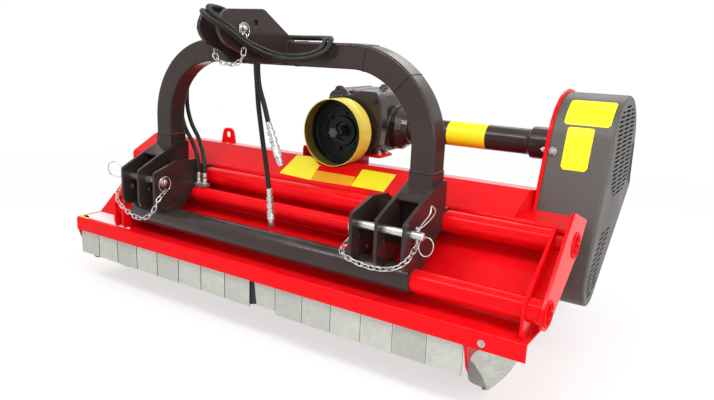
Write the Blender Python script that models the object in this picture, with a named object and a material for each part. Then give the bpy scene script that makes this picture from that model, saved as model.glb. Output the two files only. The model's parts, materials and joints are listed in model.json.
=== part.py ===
"""Flail mower with a hydraulic side-shift hitch, for the rear linkage of a tractor.

Metres, +Z up, the working direction is -Y and the belt casing is at +X. The ground is z = 0.
Every piece is named, and the sizes that drive the rest stand at the top.
"""
import math

import bpy
import bmesh
from mathutils import Matrix, Vector
from mathutils.geometry import tessellate_polygon

# clearances
GAP = 0.0003          # between two pieces that are welded, bolted or seated
RUN = 0.0004          # round a piece that turns or slides

# deck
DECK_W = 1.70
SHEET = 0.004
LIP_Y = -0.472
LIP_LOW = 0.195
SHELF_Z = 0.243
SHELF_REAR_Y = -0.365
PANEL_TOP_Y = -0.205
PANEL_TOP_Z = 0.385
WALL_Y = -0.197
DECK_Z = 0.460
DECK_REAR_Y = 0.240
TAIL_Y = 0.320
TAIL_Z = 0.370
BEND_R = 0.008
SIDE_T = 0.008
SIDE_RIGHT_X = 0.705      # outer face of the right side plate

# guide tubes of the side shift
TUBE_R = 0.0302
TUBE_BORE = 0.025
SLEEVE_R = 0.038
LOW_TUBE_Y, LOW_TUBE_Z = -0.420, 0.3085
TOP_TUBE_Y, TOP_TUBE_Z = -0.241, 0.432
END_T = 0.008
END_IN_X = 0.826
END_OUT_X = 0.868
END_L_IN_X = -0.600
END_L_OUT_X = -0.642
EYE_R = 0.042

# hitch frame
HITCH_X = -0.0153
HITCH_PLATE = 0.010
PLATE_A = 0.3823          # left face of each right-hand plate, from the hitch centre
PLATE_B = 0.4593
PLATE_C = 0.5400
LEG = 0.0707
ARCH_Y = -0.333           # front face of the arch
ARCH_TOP = 0.905
ARCH_R = 0.2354           # centre line radius of the arch corners
LEG_SEAM_Z = 0.576
LEG_LOW_Z = 0.500
PIN_R = 0.011
PIN_Y, PIN_Z = -0.450, 0.439
LINK_X = 0.0343           # inner faces of the top link plates lie this far from the centre
LINK_T = 0.012
TOP_PIN_Y, TOP_PIN_Z = -0.527, 0.937
LINK_NOSE = 0.098         # reach of the top link plates ahead of their pin, and so on
LINK_CROWN = 0.054
LINK_CHIN = 0.066
LINK_BACK = 0.092
LINK_HOLE_Y, LINK_HOLE_Z = TOP_PIN_Y + 0.056, TOP_PIN_Z + 0.012
SLIDE_MIN, SLIDE_MAX = -0.025, 0.285

# hydraulic cylinder
CYL_Y, CYL_Z = -0.300, 0.377
CYL_R = 0.027
ROD_R = 0.0105
HOSE_R = 0.0065

# rotor
ROTOR_Y, ROTOR_Z = -0.035, 0.275
ROTOR_R = 0.055
STUB_R = 0.025
HAMMER_ORBIT = 0.107
HAMMER_LEN = 0.065
HAMMER_W = 0.088
HAMMER_T = 0.016
HAMMERS = 16
ROWS = 4
EYE_W = 0.030
LUG_T = 0.008
BOLT_R = 0.008

# drive line
DRIVE_Y, DRIVE_Z = 0.170, 0.617
SHAFT_R = 0.0175
DRIVE_TUBE_R = 0.0415
DRIVE_TUBE_WALL = 0.005
FLANGE_SLEEVE_R = 0.050
FLANGE_SLEEVE_X = 0.555
INPUT_X, INPUT_Z = 0.039, 0.613
GUARD_R = 0.112
GUARD_FRONT_Y = -0.105
GUARD_BACK_Y = -0.030
GEAR_BASE_Z = 0.538
GEAR_TOP_Z = 0.745
UP_PULLEY_R = 0.105
LOW_PULLEY_R = 0.050
PULLEY_X = 0.765
PULLEY_W = 0.063
BELTS = 3
BELT_TOP = 0.003

# belt casing
CASE_R = 0.163
CASE_LOW_R = 0.070
CASE_TAIL_Y, CASE_TAIL_Z, CASE_TAIL_R = 0.325, 0.500, 0.020
CASE_RIM = 0.009
BACKPLATE_T = 0.010
COVER_X = 0.882
COVER_T = 0.003
VENT_H = 0.006
VENT_PITCH = 0.0125
VENT_L = 0.062
VENT_STEP = 0.074

# flaps
FLAP_AXIS_Y, FLAP_AXIS_Z = -0.455, 0.222
FLAP_ROD_R = 0.006
FLAP_LOW = 0.105
FLAP_T = 0.003
FLAP_CURL_R = 0.0095
LEFT_FLAPS = 8
RIGHT_FLAPS = 6
LEFT_BANK_END = -0.0015
MID_FLAP = (0.0125, 0.0985)
RIGHT_BANK_START = 0.0990

# rear
ROLLER_R = 0.075
ROLLER_Y = 0.440
ROLLER_AXLE_R = 0.0125
HOOD_Y, HOOD_Z = 0.330, 0.335
HOOD_ROD_R = 0.007

# skids
SKID_T = 0.004
SKID_FRONT_Y, SKID_REAR_Y = -0.304, 0.270
SKID_SOLE_X = 0.748

SIDE_LEFT_X = -DECK_W / 2
HALF = DECK_W / 2

PARTS = []


# small geometry helpers: a piece is a pair (points, faces)
def arc(cy, cz, r, a0, a1, n):
    """n + 1 points on a circle from angle a0 to a1, in degrees."""
    out = []
    for i in range(n + 1):
        a = math.radians(a0 + (a1 - a0) * i / n)
        out.append((cy + r * math.cos(a), cz + r * math.sin(a)))
    return out


def circle(cy, cz, r, n=16, a0=0.0):
    return arc(cy, cz, r, a0, a0 + 360 * (n - 1) / n, n - 1)


def bore(r, n=16):
    """Radius of an n-sided hole whose flats just clear a round piece of radius r."""
    return r / math.cos(math.pi / n)


def rounded(points, step=30):
    """Closed outline with a fillet wherever a point has a third number."""
    out = []
    count = len(points)
    for i, p in enumerate(points):
        if len(p) == 2 or p[2] <= 0:
            out.append((p[0], p[1]))
            continue
        out += corner(points[i - 1], p, points[(i + 1) % count], p[2], step)
    return out


def corner(before, at, after, r, step=30):
    p = Vector(at[:2])
    a = (Vector(before[:2]) - p)
    b = (Vector(after[:2]) - p)
    la, lb = a.length, b.length
    a.normalize()
    b.normalize()
    half = math.acos(max(-1.0, min(1.0, a.dot(b)))) / 2
    if half > math.pi / 2 - 0.01 or half < 0.02:
        return [(p.x, p.y)]
    back = min(r / math.tan(half), 0.48 * la, 0.48 * lb)
    r = back * math.tan(half)
    centre = p + (a + b).normalized() * (r / math.sin(half))
    start = p + a * back - centre
    end = p + b * back - centre
    turn = math.atan2(start.x * end.y - start.y * end.x, start.dot(end))
    n = max(1, round(abs(math.degrees(turn)) / step))
    out = []
    for i in range(n + 1):
        t = turn * i / n
        c, s = math.cos(t), math.sin(t)
        out.append((centre.x + start.x * c - start.y * s, centre.y + start.x * s + start.y * c))
    return out


def path(points, step=30):
    """Open profile with fillets at the points that have a third number."""
    out = [tuple(points[0][:2])]
    for i in range(1, len(points) - 1):
        p = points[i]
        out += corner(points[i - 1], p, points[i + 1], p[2], step) if len(p) > 2 else [tuple(p)]
    return out + [tuple(points[-1][:2])]


def offset(line, d):
    """Open polyline moved by d to its left."""
    out = []
    last = len(line) - 1
    for i, p in enumerate(line):
        q = Vector(p)
        one = (q - Vector(line[i - 1])).normalized() if i else None
        two = (Vector(line[i + 1]) - q).normalized() if i < last else None
        one = one or two
        two = two or one
        n1 = Vector((-one.y, one.x))
        n2 = Vector((-two.y, two.x))
        m = (n1 + n2).normalized()
        q = q + m * (d / max(0.2, m.dot(n1)))
        out.append((q.x, q.y))
    return out


def hull(points):
    pts = sorted(set((round(p[0], 7), round(p[1], 7)) for p in points))

    def half(seq):
        out = []
        for p in seq:
            while len(out) > 1:
                a, b = out[-2], out[-1]
                if (b[0] - a[0]) * (p[1] - a[1]) - (b[1] - a[1]) * (p[0] - a[0]) > 1e-9:
                    break
                out.pop()
            out.append(p)
        return out[:-1]
    return half(pts) + half(pts[::-1])


def area(loop):
    return sum(a[0] * b[1] - b[0] * a[1] for a, b in zip(loop, loop[1:] + loop[:1])) / 2


def place(axis, w, u, v):
    return {"X": (w, u, v), "Y": (u, w, v), "Z": (u, v, w)}[axis]


def taken(bm):
    """Points and faces of a working mesh, which is freed."""
    bm.verts.index_update()
    verts = [tuple(v.co) for v in bm.verts]
    faces = [tuple(v.index for v in f.verts) for f in bm.faces]
    bm.free()
    return verts, faces


def plate(outline, holes, axis, lo, hi):
    """Flat plate: an outline with holes is filled and extruded from lo to hi along an axis."""
    bm = bmesh.new()
    edges = []
    for loop in [outline] + holes:
        verts = [bm.verts.new(place(axis, lo, *p)) for p in loop]
        edges += [bm.edges.new((verts[i - 1], verts[i])) for i in range(len(verts))]
    bmesh.ops.triangle_fill(bm, use_beauty=True, use_dissolve=False, edges=edges)
    pulled = bmesh.ops.extrude_face_region(bm, geom=bm.faces[:])["geom"]
    pulled = [v for v in pulled if isinstance(v, bmesh.types.BMVert)]
    bmesh.ops.translate(bm, verts=pulled, vec=Vector(place(axis, hi - lo, 0.0, 0.0)))
    return taken(bm)


def turned(profile, axis, cu, cv, n=16, phase=0.0):
    """Body of revolution: profile is a list of (along, radius), from the axis back to it or closed."""
    bm = bmesh.new()
    a = math.radians(phase)
    verts = [bm.verts.new(place(axis, w, cu + r * math.cos(a), cv + r * math.sin(a))) for w, r in profile]
    edges = [bm.edges.new(pair) for pair in zip(verts, verts[1:])]
    if profile[0][1] > 1e-9:
        edges.append(bm.edges.new((verts[-1], verts[0])))
    bmesh.ops.spin(bm, geom=verts + edges, cent=place(axis, 0.0, cu, cv), axis=place(axis, 1.0, 0.0, 0.0),
                   angle=2 * math.pi, steps=n, use_merge=True)
    bmesh.ops.remove_doubles(bm, verts=bm.verts, dist=1e-6)
    return taken(bm)


def rod(axis, cu, cv, r, lo, hi, n=16):
    return turned([(lo, 0), (lo, r), (hi, r), (hi, 0)], axis, cu, cv, n)


def ring(axis, cu, cv, ro, ri, lo, hi, n=16):
    return turned([(lo, ri), (lo, ro), (hi, ro), (hi, ri)], axis, cu, cv, n)


def block(lo, hi):
    x0, y0, z0 = lo
    x1, y1, z1 = hi
    return plate([(x0, y0), (x1, y0), (x1, y1), (x0, y1)], [], "Z", z0, z1)


def wire(name, points, r, sides=6, closed=False):
    """Curve object with a round bevel along 3D points; sides is 4, 6 or 8."""
    curve = bpy.data.curves.new(name, "CURVE")
    curve.dimensions = "3D"
    curve.bevel_depth = r
    curve.bevel_resolution = (sides - 4) // 2
    curve.use_fill_caps = not closed
    spline = curve.splines.new("POLY")
    spline.points.add(len(points) - 1)
    for p, q in zip(spline.points, points):
        p.co = (q[0], q[1], q[2], 1.0)
    spline.use_cyclic_u = closed
    ob = bpy.data.objects.new(name, curve)
    bpy.context.scene.collection.objects.link(ob)
    return ob


def sweep(points, r, sides=6, closed=False):
    """Round wire along 3D points, as a piece."""
    ob = wire("work", points, r, sides, closed)
    bpy.context.view_layer.update()
    done = ob.evaluated_get(bpy.context.evaluated_depsgraph_get())
    bm = bmesh.new()
    bm.from_mesh(done.to_mesh())
    done.to_mesh_clear()
    curve = ob.data
    bpy.data.objects.remove(ob)
    bpy.data.curves.remove(curve)
    bmesh.ops.remove_doubles(bm, verts=bm.verts, dist=1e-6)
    return taken(bm)


def moved(piece, matrix):
    return [tuple(matrix @ Vector(v)) for v in piece[0]], piece[1]


def shifted(piece, dx=0.0, dy=0.0, dz=0.0):
    return [(v[0] + dx, v[1] + dy, v[2] + dz) for v in piece[0]], piece[1]


def joined(pieces):
    verts, faces = [], []
    for p in pieces:
        base = len(verts)
        verts += p[0]
        faces += [tuple(i + base for i in f) for f in p[1]]
    return verts, faces


def mesh_object(name, piece):
    mesh = bpy.data.meshes.new(name)
    mesh.from_pydata([tuple(v) for v in piece[0]], [], piece[1])
    bm = bmesh.new()
    bm.from_mesh(mesh)
    bmesh.ops.remove_doubles(bm, verts=bm.verts, dist=1e-6)
    bmesh.ops.dissolve_degenerate(bm, edges=bm.edges, dist=1e-6)
    bmesh.ops.recalc_face_normals(bm, faces=bm.faces)
    bm.to_mesh(mesh)
    bm.free()
    ob = bpy.data.objects.new(name, mesh)
    bpy.context.scene.collection.objects.link(ob)
    return ob


def combine(a, b, operation):
    """Boolean of two closed pieces, returned as a piece."""
    one = mesh_object("work_a", a)
    two = mesh_object("work_b", b)
    mod = one.modifiers.new("cut", "BOOLEAN")
    mod.operation = operation
    mod.solver = "EXACT"
    mod.object = two
    bpy.context.view_layer.update()
    done = one.evaluated_get(bpy.context.evaluated_depsgraph_get())
    mesh = done.to_mesh()
    bm = bmesh.new()
    bm.from_mesh(mesh)
    bmesh.ops.remove_doubles(bm, verts=bm.verts, dist=1e-6)
    bmesh.ops.dissolve_limit(bm, angle_limit=0.001, verts=bm.verts, edges=bm.edges)
    bmesh.ops.triangulate(bm, faces=bm.faces)
    done.to_mesh_clear()
    for ob in (one, two):
        data = ob.data
        bpy.data.objects.remove(ob)
        bpy.data.meshes.remove(data)
    return taken(bm)


def union(*pieces):
    """Boolean union of closed pieces, one after the other."""
    out = pieces[0]
    for p in pieces[1:]:
        out = combine(out, p, "UNION")
    return out


def node(name, piece, colour, metallic=0.0, rough=0.5, origin=(0.0, 0.0, 0.0)):
    """One object with its own material; a moving piece has its origin on its joint's axis."""
    ob = mesh_object(name, shifted(piece, -origin[0], -origin[1], -origin[2]))
    ob.location = origin
    ob.data.shade_smooth()
    ob.data.set_sharp_from_angle(angle=math.radians(35))
    finish(ob, colour, metallic, rough)
    return ob


def finish(ob, colour, metallic, rough):
    mat = bpy.data.materials.new(ob.name)
    mat.use_nodes = True
    bsdf = mat.node_tree.nodes["Principled BSDF"]
    bsdf.inputs["Base Color"].default_value = (*colour, 1.0)
    bsdf.inputs["Metallic"].default_value = metallic
    bsdf.inputs["Roughness"].default_value = rough
    ob.data.materials.append(mat)
    PARTS.append(ob)


RED = (0.80, 0.012, 0.016)
DARK = (0.045, 0.038, 0.036)
CASE = (0.075, 0.070, 0.066)
ZINC = (0.62, 0.62, 0.60)
GALV = (0.43, 0.45, 0.41)
STEEL = (0.30, 0.29, 0.28)
BLACK = (0.012, 0.012, 0.012)
YELLOW = (0.80, 0.52, 0.03)
GREY = (0.18, 0.18, 0.18)


# outlines that several pieces share
def deck_line():
    return path([
        (LIP_Y, LIP_LOW),
        (LIP_Y, SHELF_Z, BEND_R),
        (SHELF_REAR_Y, SHELF_Z, BEND_R),
        (PANEL_TOP_Y, PANEL_TOP_Z, BEND_R),
        (WALL_Y, PANEL_TOP_Z + 0.010, BEND_R),
        (WALL_Y, DECK_Z, BEND_R),
        (DECK_REAR_Y, DECK_Z, BEND_R),
        (TAIL_Y, TAIL_Z),
    ])


def tail_direction():
    return Vector((TAIL_Y - DECK_REAR_Y, TAIL_Z - DECK_Z)).normalized()


def case_outline(grow=0.0, n=24):
    return hull(circle(DRIVE_Y, DRIVE_Z, CASE_R + grow, n)
                + circle(ROTOR_Y, ROTOR_Z, CASE_LOW_R + grow, n)
                + circle(CASE_TAIL_Y, CASE_TAIL_Z, CASE_TAIL_R + grow, n))


def front_of(outline, z):
    """Smallest y at which a closed outline crosses the height z."""
    best = None
    for a, b in zip(outline, outline[1:] + outline[:1]):
        if (a[1] - z) * (b[1] - z) > 0 or a[1] == b[1]:
            continue
        y = a[0] + (b[0] - a[0]) * (z - a[1]) / (b[1] - a[1])
        best = y if best is None else min(best, y)
    return best


def side_outline():
    t = tail_direction()
    n = Vector((-t.y, t.x))
    inner = offset(deck_line(), -(SHEET + GAP))
    stop = Vector(inner[-1]) + t * 0.014
    front = inner[0][0]
    out = [(front, LIP_LOW - 0.006)] + inner[1:] + [(stop.x, stop.y)]
    lug = Vector((HOOD_Y, HOOD_Z))
    out += arc(lug.x, lug.y, 0.016, math.degrees(math.atan2(-t.x * -1, -t.y)) + 0, -60, 4)
    out += [(HOOD_Y - 0.004, HOOD_Z - 0.05), (0.318, 0.10), (0.285, 0.035), (-0.300, 0.035),
            (-0.400, 0.065), (front + 0.022, 0.125)]
    return out


def end_outline():
    """Guide end plate that stands on the deck and holds both tubes."""
    line = deck_line()
    lifted = offset(line, GAP)
    base = [p for p in lifted if p[0] > LIP_Y + 0.016 and p[0] < WALL_Y + 0.001 and p[1] < DECK_Z - 0.009]
    eye = LOW_TUBE_Y - EYE_R
    out = [(eye + 0.007, SHELF_Z + GAP), (eye, SHELF_Z + 0.017), (eye, LOW_TUBE_Z + 0.024),
           (TOP_TUBE_Y - 0.036, TOP_TUBE_Z + 0.040), (TOP_TUBE_Y - 0.020, TOP_TUBE_Z + 0.047),
           (WALL_Y - GAP, DECK_Z - 0.009)]
    return out + base[::-1]


def link_outline(high):
    """Lower link plate of the hitch; the two that hold the leg reach higher."""
    round_sleeve = bore(SLEEVE_R + GAP, 15)
    up = arc(TOP_TUBE_Y, TOP_TUBE_Z, round_sleeve, 116, 205, 4)
    low = arc(LOW_TUBE_Y, LOW_TUBE_Z, round_sleeve, 24, 120, 4)
    front = PIN_Y - 0.037
    if high:
        top = [(front, PIN_Z + 0.032, 0.010), (-0.397, 0.512), (-0.319, 0.543, 0.02),
               (-0.285, 0.553, 0.015), (-0.259, 0.549, 0.008)]
    else:
        top = [(front, PIN_Z + 0.034, 0.010), (-0.381, 0.504, 0.02), (-0.300, 0.498, 0.02)]
    return rounded([(front + 0.009, LOW_TUBE_Z + 0.036, 0.006), (front, LOW_TUBE_Z + 0.054, 0.01)]
                   + top + up + low)


def catmull(points, step):
    """Smooth curve through the points, read about every step metres."""
    pts = [Vector(p) for p in points]
    out = []
    for i in range(len(pts) - 1):
        p0 = pts[max(0, i - 1)]
        p1, p2 = pts[i], pts[i + 1]
        p3 = pts[min(len(pts) - 1, i + 2)]
        n = max(1, round((p2 - p1).length / step))
        for k in range(n):
            t = k / n
            out.append(0.5 * ((2 * p1) + (p2 - p0) * t + (2 * p0 - 5 * p1 + 4 * p2 - p3) * t * t
                              + (3 * p1 - p0 - 3 * p2 + p3) * t ** 3))
    return out + [pts[-1]]


def chain(points, pitch, width, thick, sides=4):
    """Closed links along a curve, each turned a quarter against the last and fast to it."""
    line = catmull(points, pitch / 6)
    stations, left = [], 0.0
    total = sum((b - a).length for a, b in zip(line, line[1:]))
    count = max(2, int(total / pitch))
    pitch = total / count
    spots, goal, run = [line[0]], pitch, 0.0
    for a, b in zip(line, line[1:]):
        d = (b - a).length
        while run + d >= goal - 1e-9 and len(spots) <= count:
            spots.append(a + (b - a) * ((goal - run) / d))
            goal += pitch
        run += d
    pieces = []
    side = None
    for i, (a, b) in enumerate(zip(spots, spots[1:])):
        t = (b - a).normalized()
        if side is None:
            side = t.cross(Vector((0, 1, 0))).normalized()
        side = (side - t * side.dot(t)).normalized()
        across = side if i % 2 == 0 else t.cross(side).normalized()
        mid = (a + b) / 2
        half = (b - a).length / 2 + thick * 0.20
        loop = []
        for u, v in ((1, 0.42), (0.0, 1), (-1, 0.42), (-1, -0.42), (0.0, -1), (1, -0.42)):
            loop.append(mid + t * (half * u) + across * (width / 2 * v))
        pieces.append(sweep(loop, thick / 2, sides, closed=True))
    return pieces


# deck
def build_deck():
    line = deck_line()
    outline = line + offset(line, -SHEET)[::-1]
    shell = plate(outline, [], "X", -HALF, HALF)
    edge = front_of(case_outline(CASE_RIM), DECK_Z) - 0.002
    hole = block((SIDE_RIGHT_X, edge, 0.02), (HALF + 0.01, TAIL_Y + 0.05, DECK_Z + 0.05))
    shell = combine(shell, hole, "DIFFERENCE")

    # lifting eye at the rear left, welded on the deck
    eye_x = -0.695
    eye = rounded([(eye_x - 0.038, DECK_Z - 0.002), (eye_x + 0.038, DECK_Z - 0.002), (eye_x + 0.026, DECK_Z + 0.070, 0.024),
                   (eye_x - 0.026, DECK_Z + 0.070, 0.024)])
    eye = plate(eye, [circle(eye_x, DECK_Z + 0.042, 0.014, 10)], "Y", DECK_REAR_Y - 0.050, DECK_REAR_Y - 0.040)
    node("deck_shell", union(shell, eye), RED, 0.0, 0.25)

    rotor_hole = circle(ROTOR_Y, ROTOR_Z, STUB_R + 0.012, 16)
    flap_hole = circle(FLAP_AXIS_Y, FLAP_AXIS_Z, bore(FLAP_ROD_R + GAP, 8), 8)
    hood_hole = circle(HOOD_Y, HOOD_Z, bore(HOOD_ROD_R + GAP, 8), 8)
    holes = [rotor_hole, flap_hole, hood_hole]
    node("side_plate_left", plate(side_outline(), holes, "X", SIDE_LEFT_X, SIDE_LEFT_X + SIDE_T), RED)
    node("side_plate_right", plate(side_outline(), holes, "X", SIDE_RIGHT_X - SIDE_T, SIDE_RIGHT_X), RED)

    for name, r, cy, cz in (("upper_guide_tube", TUBE_R, TOP_TUBE_Y, TOP_TUBE_Z),
                            ("lower_guide_tube", TUBE_R, LOW_TUBE_Y, LOW_TUBE_Z)):
        node(name, ring("X", cy, cz, r, TUBE_BORE, END_L_OUT_X, END_OUT_X + END_T, 20), RED)

    low = circle(LOW_TUBE_Y, LOW_TUBE_Z, bore(TUBE_R + GAP, 20), 20)
    top = circle(TOP_TUBE_Y, TOP_TUBE_Z, bore(TUBE_R + GAP, 20), 20)
    rod_hole = circle(CYL_Y, CYL_Z, bore(ROD_R + GAP, 12), 12)
    inner = plate(end_outline(), [low, top], "X", END_IN_X, END_IN_X + END_T)
    horn = [(-0.300, 0.505), (-0.279, 0.523), (-0.150, 0.478)]
    far = hull(circle(LOW_TUBE_Y, LOW_TUBE_Z, EYE_R, 20) + circle(TOP_TUBE_Y, TOP_TUBE_Z, EYE_R, 20) + horn)
    outer = plate(far, [low, top], "X", END_OUT_X, END_OUT_X + END_T)
    a = Vector((LOW_TUBE_Y, LOW_TUBE_Z))
    b = Vector((TOP_TUBE_Y, TOP_TUBE_Z))
    d = (b - a).normalized()
    n = Vector((-d.y, d.x)) * 0.003
    a2, b2 = a + d * (TUBE_R + GAP), b - d * (TUBE_R + GAP)
    strip = [tuple(a2 - n), tuple(b2 - n), tuple(b2 + n), tuple(a2 + n)]
    web = plate(strip, [], "X", END_IN_X + END_T / 2, END_OUT_X + END_T / 2)
    cap_z = TOP_TUBE_Z + TUBE_R + GAP
    cap = plate([(-0.262, cap_z), (-0.225, cap_z), (-0.222, cap_z + 0.008), (-0.262, cap_z + 0.010)], [], "X",
                END_IN_X + END_T / 2, END_OUT_X + END_T / 2)
    node("guide_end_right", union(inner, web, outer, cap), RED)
    near = plate(end_outline(), [low, top, rod_hole], "X", END_L_IN_X, END_L_IN_X + END_T)
    away = plate(end_outline(), [low, top], "X", END_L_OUT_X, END_L_OUT_X + END_T)
    low_end = [p + d * t for t, p in ((0.0, a2), (0.055, a2))]
    strip = [tuple(low_end[0] - n), tuple(low_end[1] - n), tuple(low_end[1] + n), tuple(low_end[0] + n)]
    web = plate(strip, [], "X", END_L_OUT_X + END_T / 2, END_L_IN_X + END_T / 2)
    node("guide_end_left", union(near, web, away), RED)


# gearbox, guard and drive tube
def build_drive():
    top_z = GEAR_BASE_Z - GAP
    table = block((-0.130, 0.000, top_z - 0.010), (0.160, 0.270, top_z))
    legs = []
    for x in (-0.125, 0.078):
        side = rounded([(0.000, DECK_Z + GAP), (0.236, DECK_Z + GAP), (0.262, top_z - 0.006), (0.004, top_z - 0.006)])
        legs.append(plate(side, [circle(0.125, DECK_Z + 0.035, 0.016, 10)], "X", x, x + 0.008))
    node("gearbox_mount", union(table, joined(legs)), RED)

    top = GEAR_TOP_Z
    flange = rounded([(-0.060, GEAR_BASE_Z), (0.120, GEAR_BASE_Z), (0.166, 0.572, 0.03), (0.176, 0.640, 0.05),
                      (0.168, 0.722, 0.03), (0.150, top + 0.005, 0.02), (0.085, top + 0.005, 0.01), (0.050, top - 0.011, 0.01),
                      (-0.030, top - 0.020, 0.03), (-0.070, 0.660, 0.04), (-0.072, 0.590, 0.03)])
    flange = plate(flange, [], "Y", -0.012, 0.030)
    body = plate(rounded([(-0.060, GEAR_BASE_Z), (0.138, GEAR_BASE_Z), (0.138, GEAR_TOP_Z, 0.03), (-0.060, GEAR_TOP_Z, 0.03)]),
                 [], "Y", 0.020, 0.275)
    neck = turned([(0.10, 0), (0.10, 0.076), (0.165, 0.076), (0.180, 0.060), (0.200, 0.055), (0.200, 0)],
                  "X", DRIVE_Y, DRIVE_Z, 20)
    boss = turned([(GUARD_BACK_Y + 0.0033, 0), (GUARD_BACK_Y + 0.0033, 0.062), (0.0, 0.070), (0.0, 0)],
                  "Y", INPUT_X, INPUT_Z, 20)
    pocket = turned([(GUARD_BACK_Y - 0.01, 0), (GUARD_BACK_Y - 0.01, bore(SHAFT_R + RUN, 16)),
                     (0.012, bore(SHAFT_R + RUN, 16)), (0.012, 0)], "Y", INPUT_X, INPUT_Z, 16)
    out = turned([(0.150, 0), (0.150, bore(SHAFT_R + RUN, 16)), (0.21, bore(SHAFT_R + RUN, 16)), (0.21, 0)],
                 "X", DRIVE_Y, DRIVE_Z, 16)
    shape = union(flange, body, neck, boss)
    shape = combine(shape, pocket, "DIFFERENCE")
    shape = combine(shape, out, "DIFFERENCE")
    cap_x, cap_y = 0.085, 0.150
    cap = turned([(GEAR_TOP_Z - 0.004, 0), (GEAR_TOP_Z - 0.004, 0.017), (GEAR_TOP_Z + 0.012, 0.017),
                  (GEAR_TOP_Z + 0.012, 0.010), (GEAR_TOP_Z + 0.020, 0.010), (GEAR_TOP_Z + 0.020, 0)],
                 "Z", cap_x, cap_y, 10)
    lug = rounded([(-0.042, top - 0.035), (0.052, top - 0.020), (0.008, top + 0.016, 0.012), (-0.014, top + 0.016, 0.012)])
    lug = plate(lug, [circle(-0.003, top - 0.001, 0.006, 8)], "Y", -0.003, 0.009)
    node("gearbox_housing", union(shape, cap, lug), DARK)

    wall = 0.003
    hole = bore(SHAFT_R + 0.006, 12)
    cup = [(GUARD_FRONT_Y, GUARD_R), (GUARD_BACK_Y, GUARD_R), (GUARD_BACK_Y, 0.088), (GUARD_BACK_Y + wall, 0.088),
           (GUARD_BACK_Y + wall, hole), (GUARD_BACK_Y, hole), (GUARD_BACK_Y, 0.085), (GUARD_BACK_Y - wall, 0.085),
           (GUARD_BACK_Y - wall, GUARD_R - wall), (GUARD_FRONT_Y, GUARD_R - wall)]
    node("pto_guard", turned(cup, "Y", INPUT_X, INPUT_Z, 24), YELLOW)

    end = SIDE_RIGHT_X
    hollow = DRIVE_TUBE_R - DRIVE_TUBE_WALL
    profile = [(0.2003, hollow), (0.2003, DRIVE_TUBE_R), (FLANGE_SLEEVE_X, DRIVE_TUBE_R),
               (FLANGE_SLEEVE_X + 0.004, FLANGE_SLEEVE_R), (end, FLANGE_SLEEVE_R), (end, hollow)]
    node("drive_shaft_tube", turned(profile, "X", DRIVE_Y, DRIVE_Z, 20), DARK)


# belt casing, pulleys and belts
def vents():
    out = []
    rows = 10
    for k in range(-rows, rows + 1):
        z = DRIVE_Z + 0.004 + k * VENT_PITCH
        reach = math.sqrt(max(0.0, (CASE_R - 0.024) ** 2 - (z - DRIVE_Z) ** 2))
        for c in (-1, 0, 1):
            y0 = DRIVE_Y + c * VENT_STEP - VENT_L / 2
            y1 = y0 + VENT_L
            y0, y1 = max(y0, DRIVE_Y - reach), min(y1, DRIVE_Y + reach)
            if y1 - y0 > 0.024:
                out.append([(y0, z), (y1, z), (y1, z + VENT_H), (y0, z + VENT_H)])
    inner = case_outline(-0.016)
    for k in range(14):
        z = ROTOR_Z - 0.040 + k * VENT_PITCH
        left = front_of(inner, z)
        right = -front_of([(-p[0], p[1]) for p in inner], z)
        if k > 5:
            left += (k - 5) * 0.008
        for y0, y1 in ((left + 0.004, min(left + 0.052, right)), (left + 0.062, min(left + 0.110, right))):
            if y1 - y0 > 0.020:
                out.append([(y0, z), (y1, z), (y1, z + VENT_H), (y0, z + VENT_H)])
    return out


def cover_shell(x0, x1):
    """Open pressed box: outer face with vents, a wall all round, open towards the backplate."""
    outer = case_outline()
    inner = case_outline(-COVER_T)
    holes = [h[::-1] for h in vents()]
    verts, faces = [], []

    def add(loop, x):
        base = len(verts)
        verts.extend((x, p[0], p[1]) for p in loop)
        return list(range(base, base + len(loop)))

    def cap(loops, ids, x):
        tris = tessellate_polygon([[Vector((p[0], p[1], 0)) for p in loop] for loop in loops])
        flat = [i for part in ids for i in part]
        faces.extend(tuple(flat[i] for i in t) for t in tris)

    def wall(a, b):
        n = len(a)
        for i in range(n):
            j = (i + 1) % n
            faces.append((a[i], a[j], b[j], b[i]))

    face_o = add(outer, x1)
    rim_o = add(outer, x0)
    rim_i = add(inner, x0)
    floor_i = add(inner, x1 - COVER_T)
    hole_o = [add(h, x1) for h in holes]
    hole_i = [add(h, x1 - COVER_T) for h in holes]
    cap([outer] + holes, [face_o] + hole_o, x1)
    cap([inner] + holes, [floor_i] + hole_i, x1 - COVER_T)
    cap([outer, inner[::-1]], [rim_o, rim_i[::-1]], x0)
    wall(face_o, rim_o)
    wall(rim_i, floor_i)
    for a, b in zip(hole_o, hole_i):
        wall(a, b)
    return verts, faces


def grooves(r, bore_r, x0, width, n=24, phase=0.0):
    """Pulley with V grooves as one closed profile."""
    step = width / BELTS
    prof = [(x0, bore_r), (x0, r)]
    for k in range(BELTS):
        mid = x0 + step * (k + 0.5)
        prof += [(mid - 0.0075, r), (mid - 0.0050, r - 0.013), (mid + 0.0050, r - 0.013), (mid + 0.0075, r)]
    prof += [(x0 + width, r), (x0 + width, bore_r)]
    return prof


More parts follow.
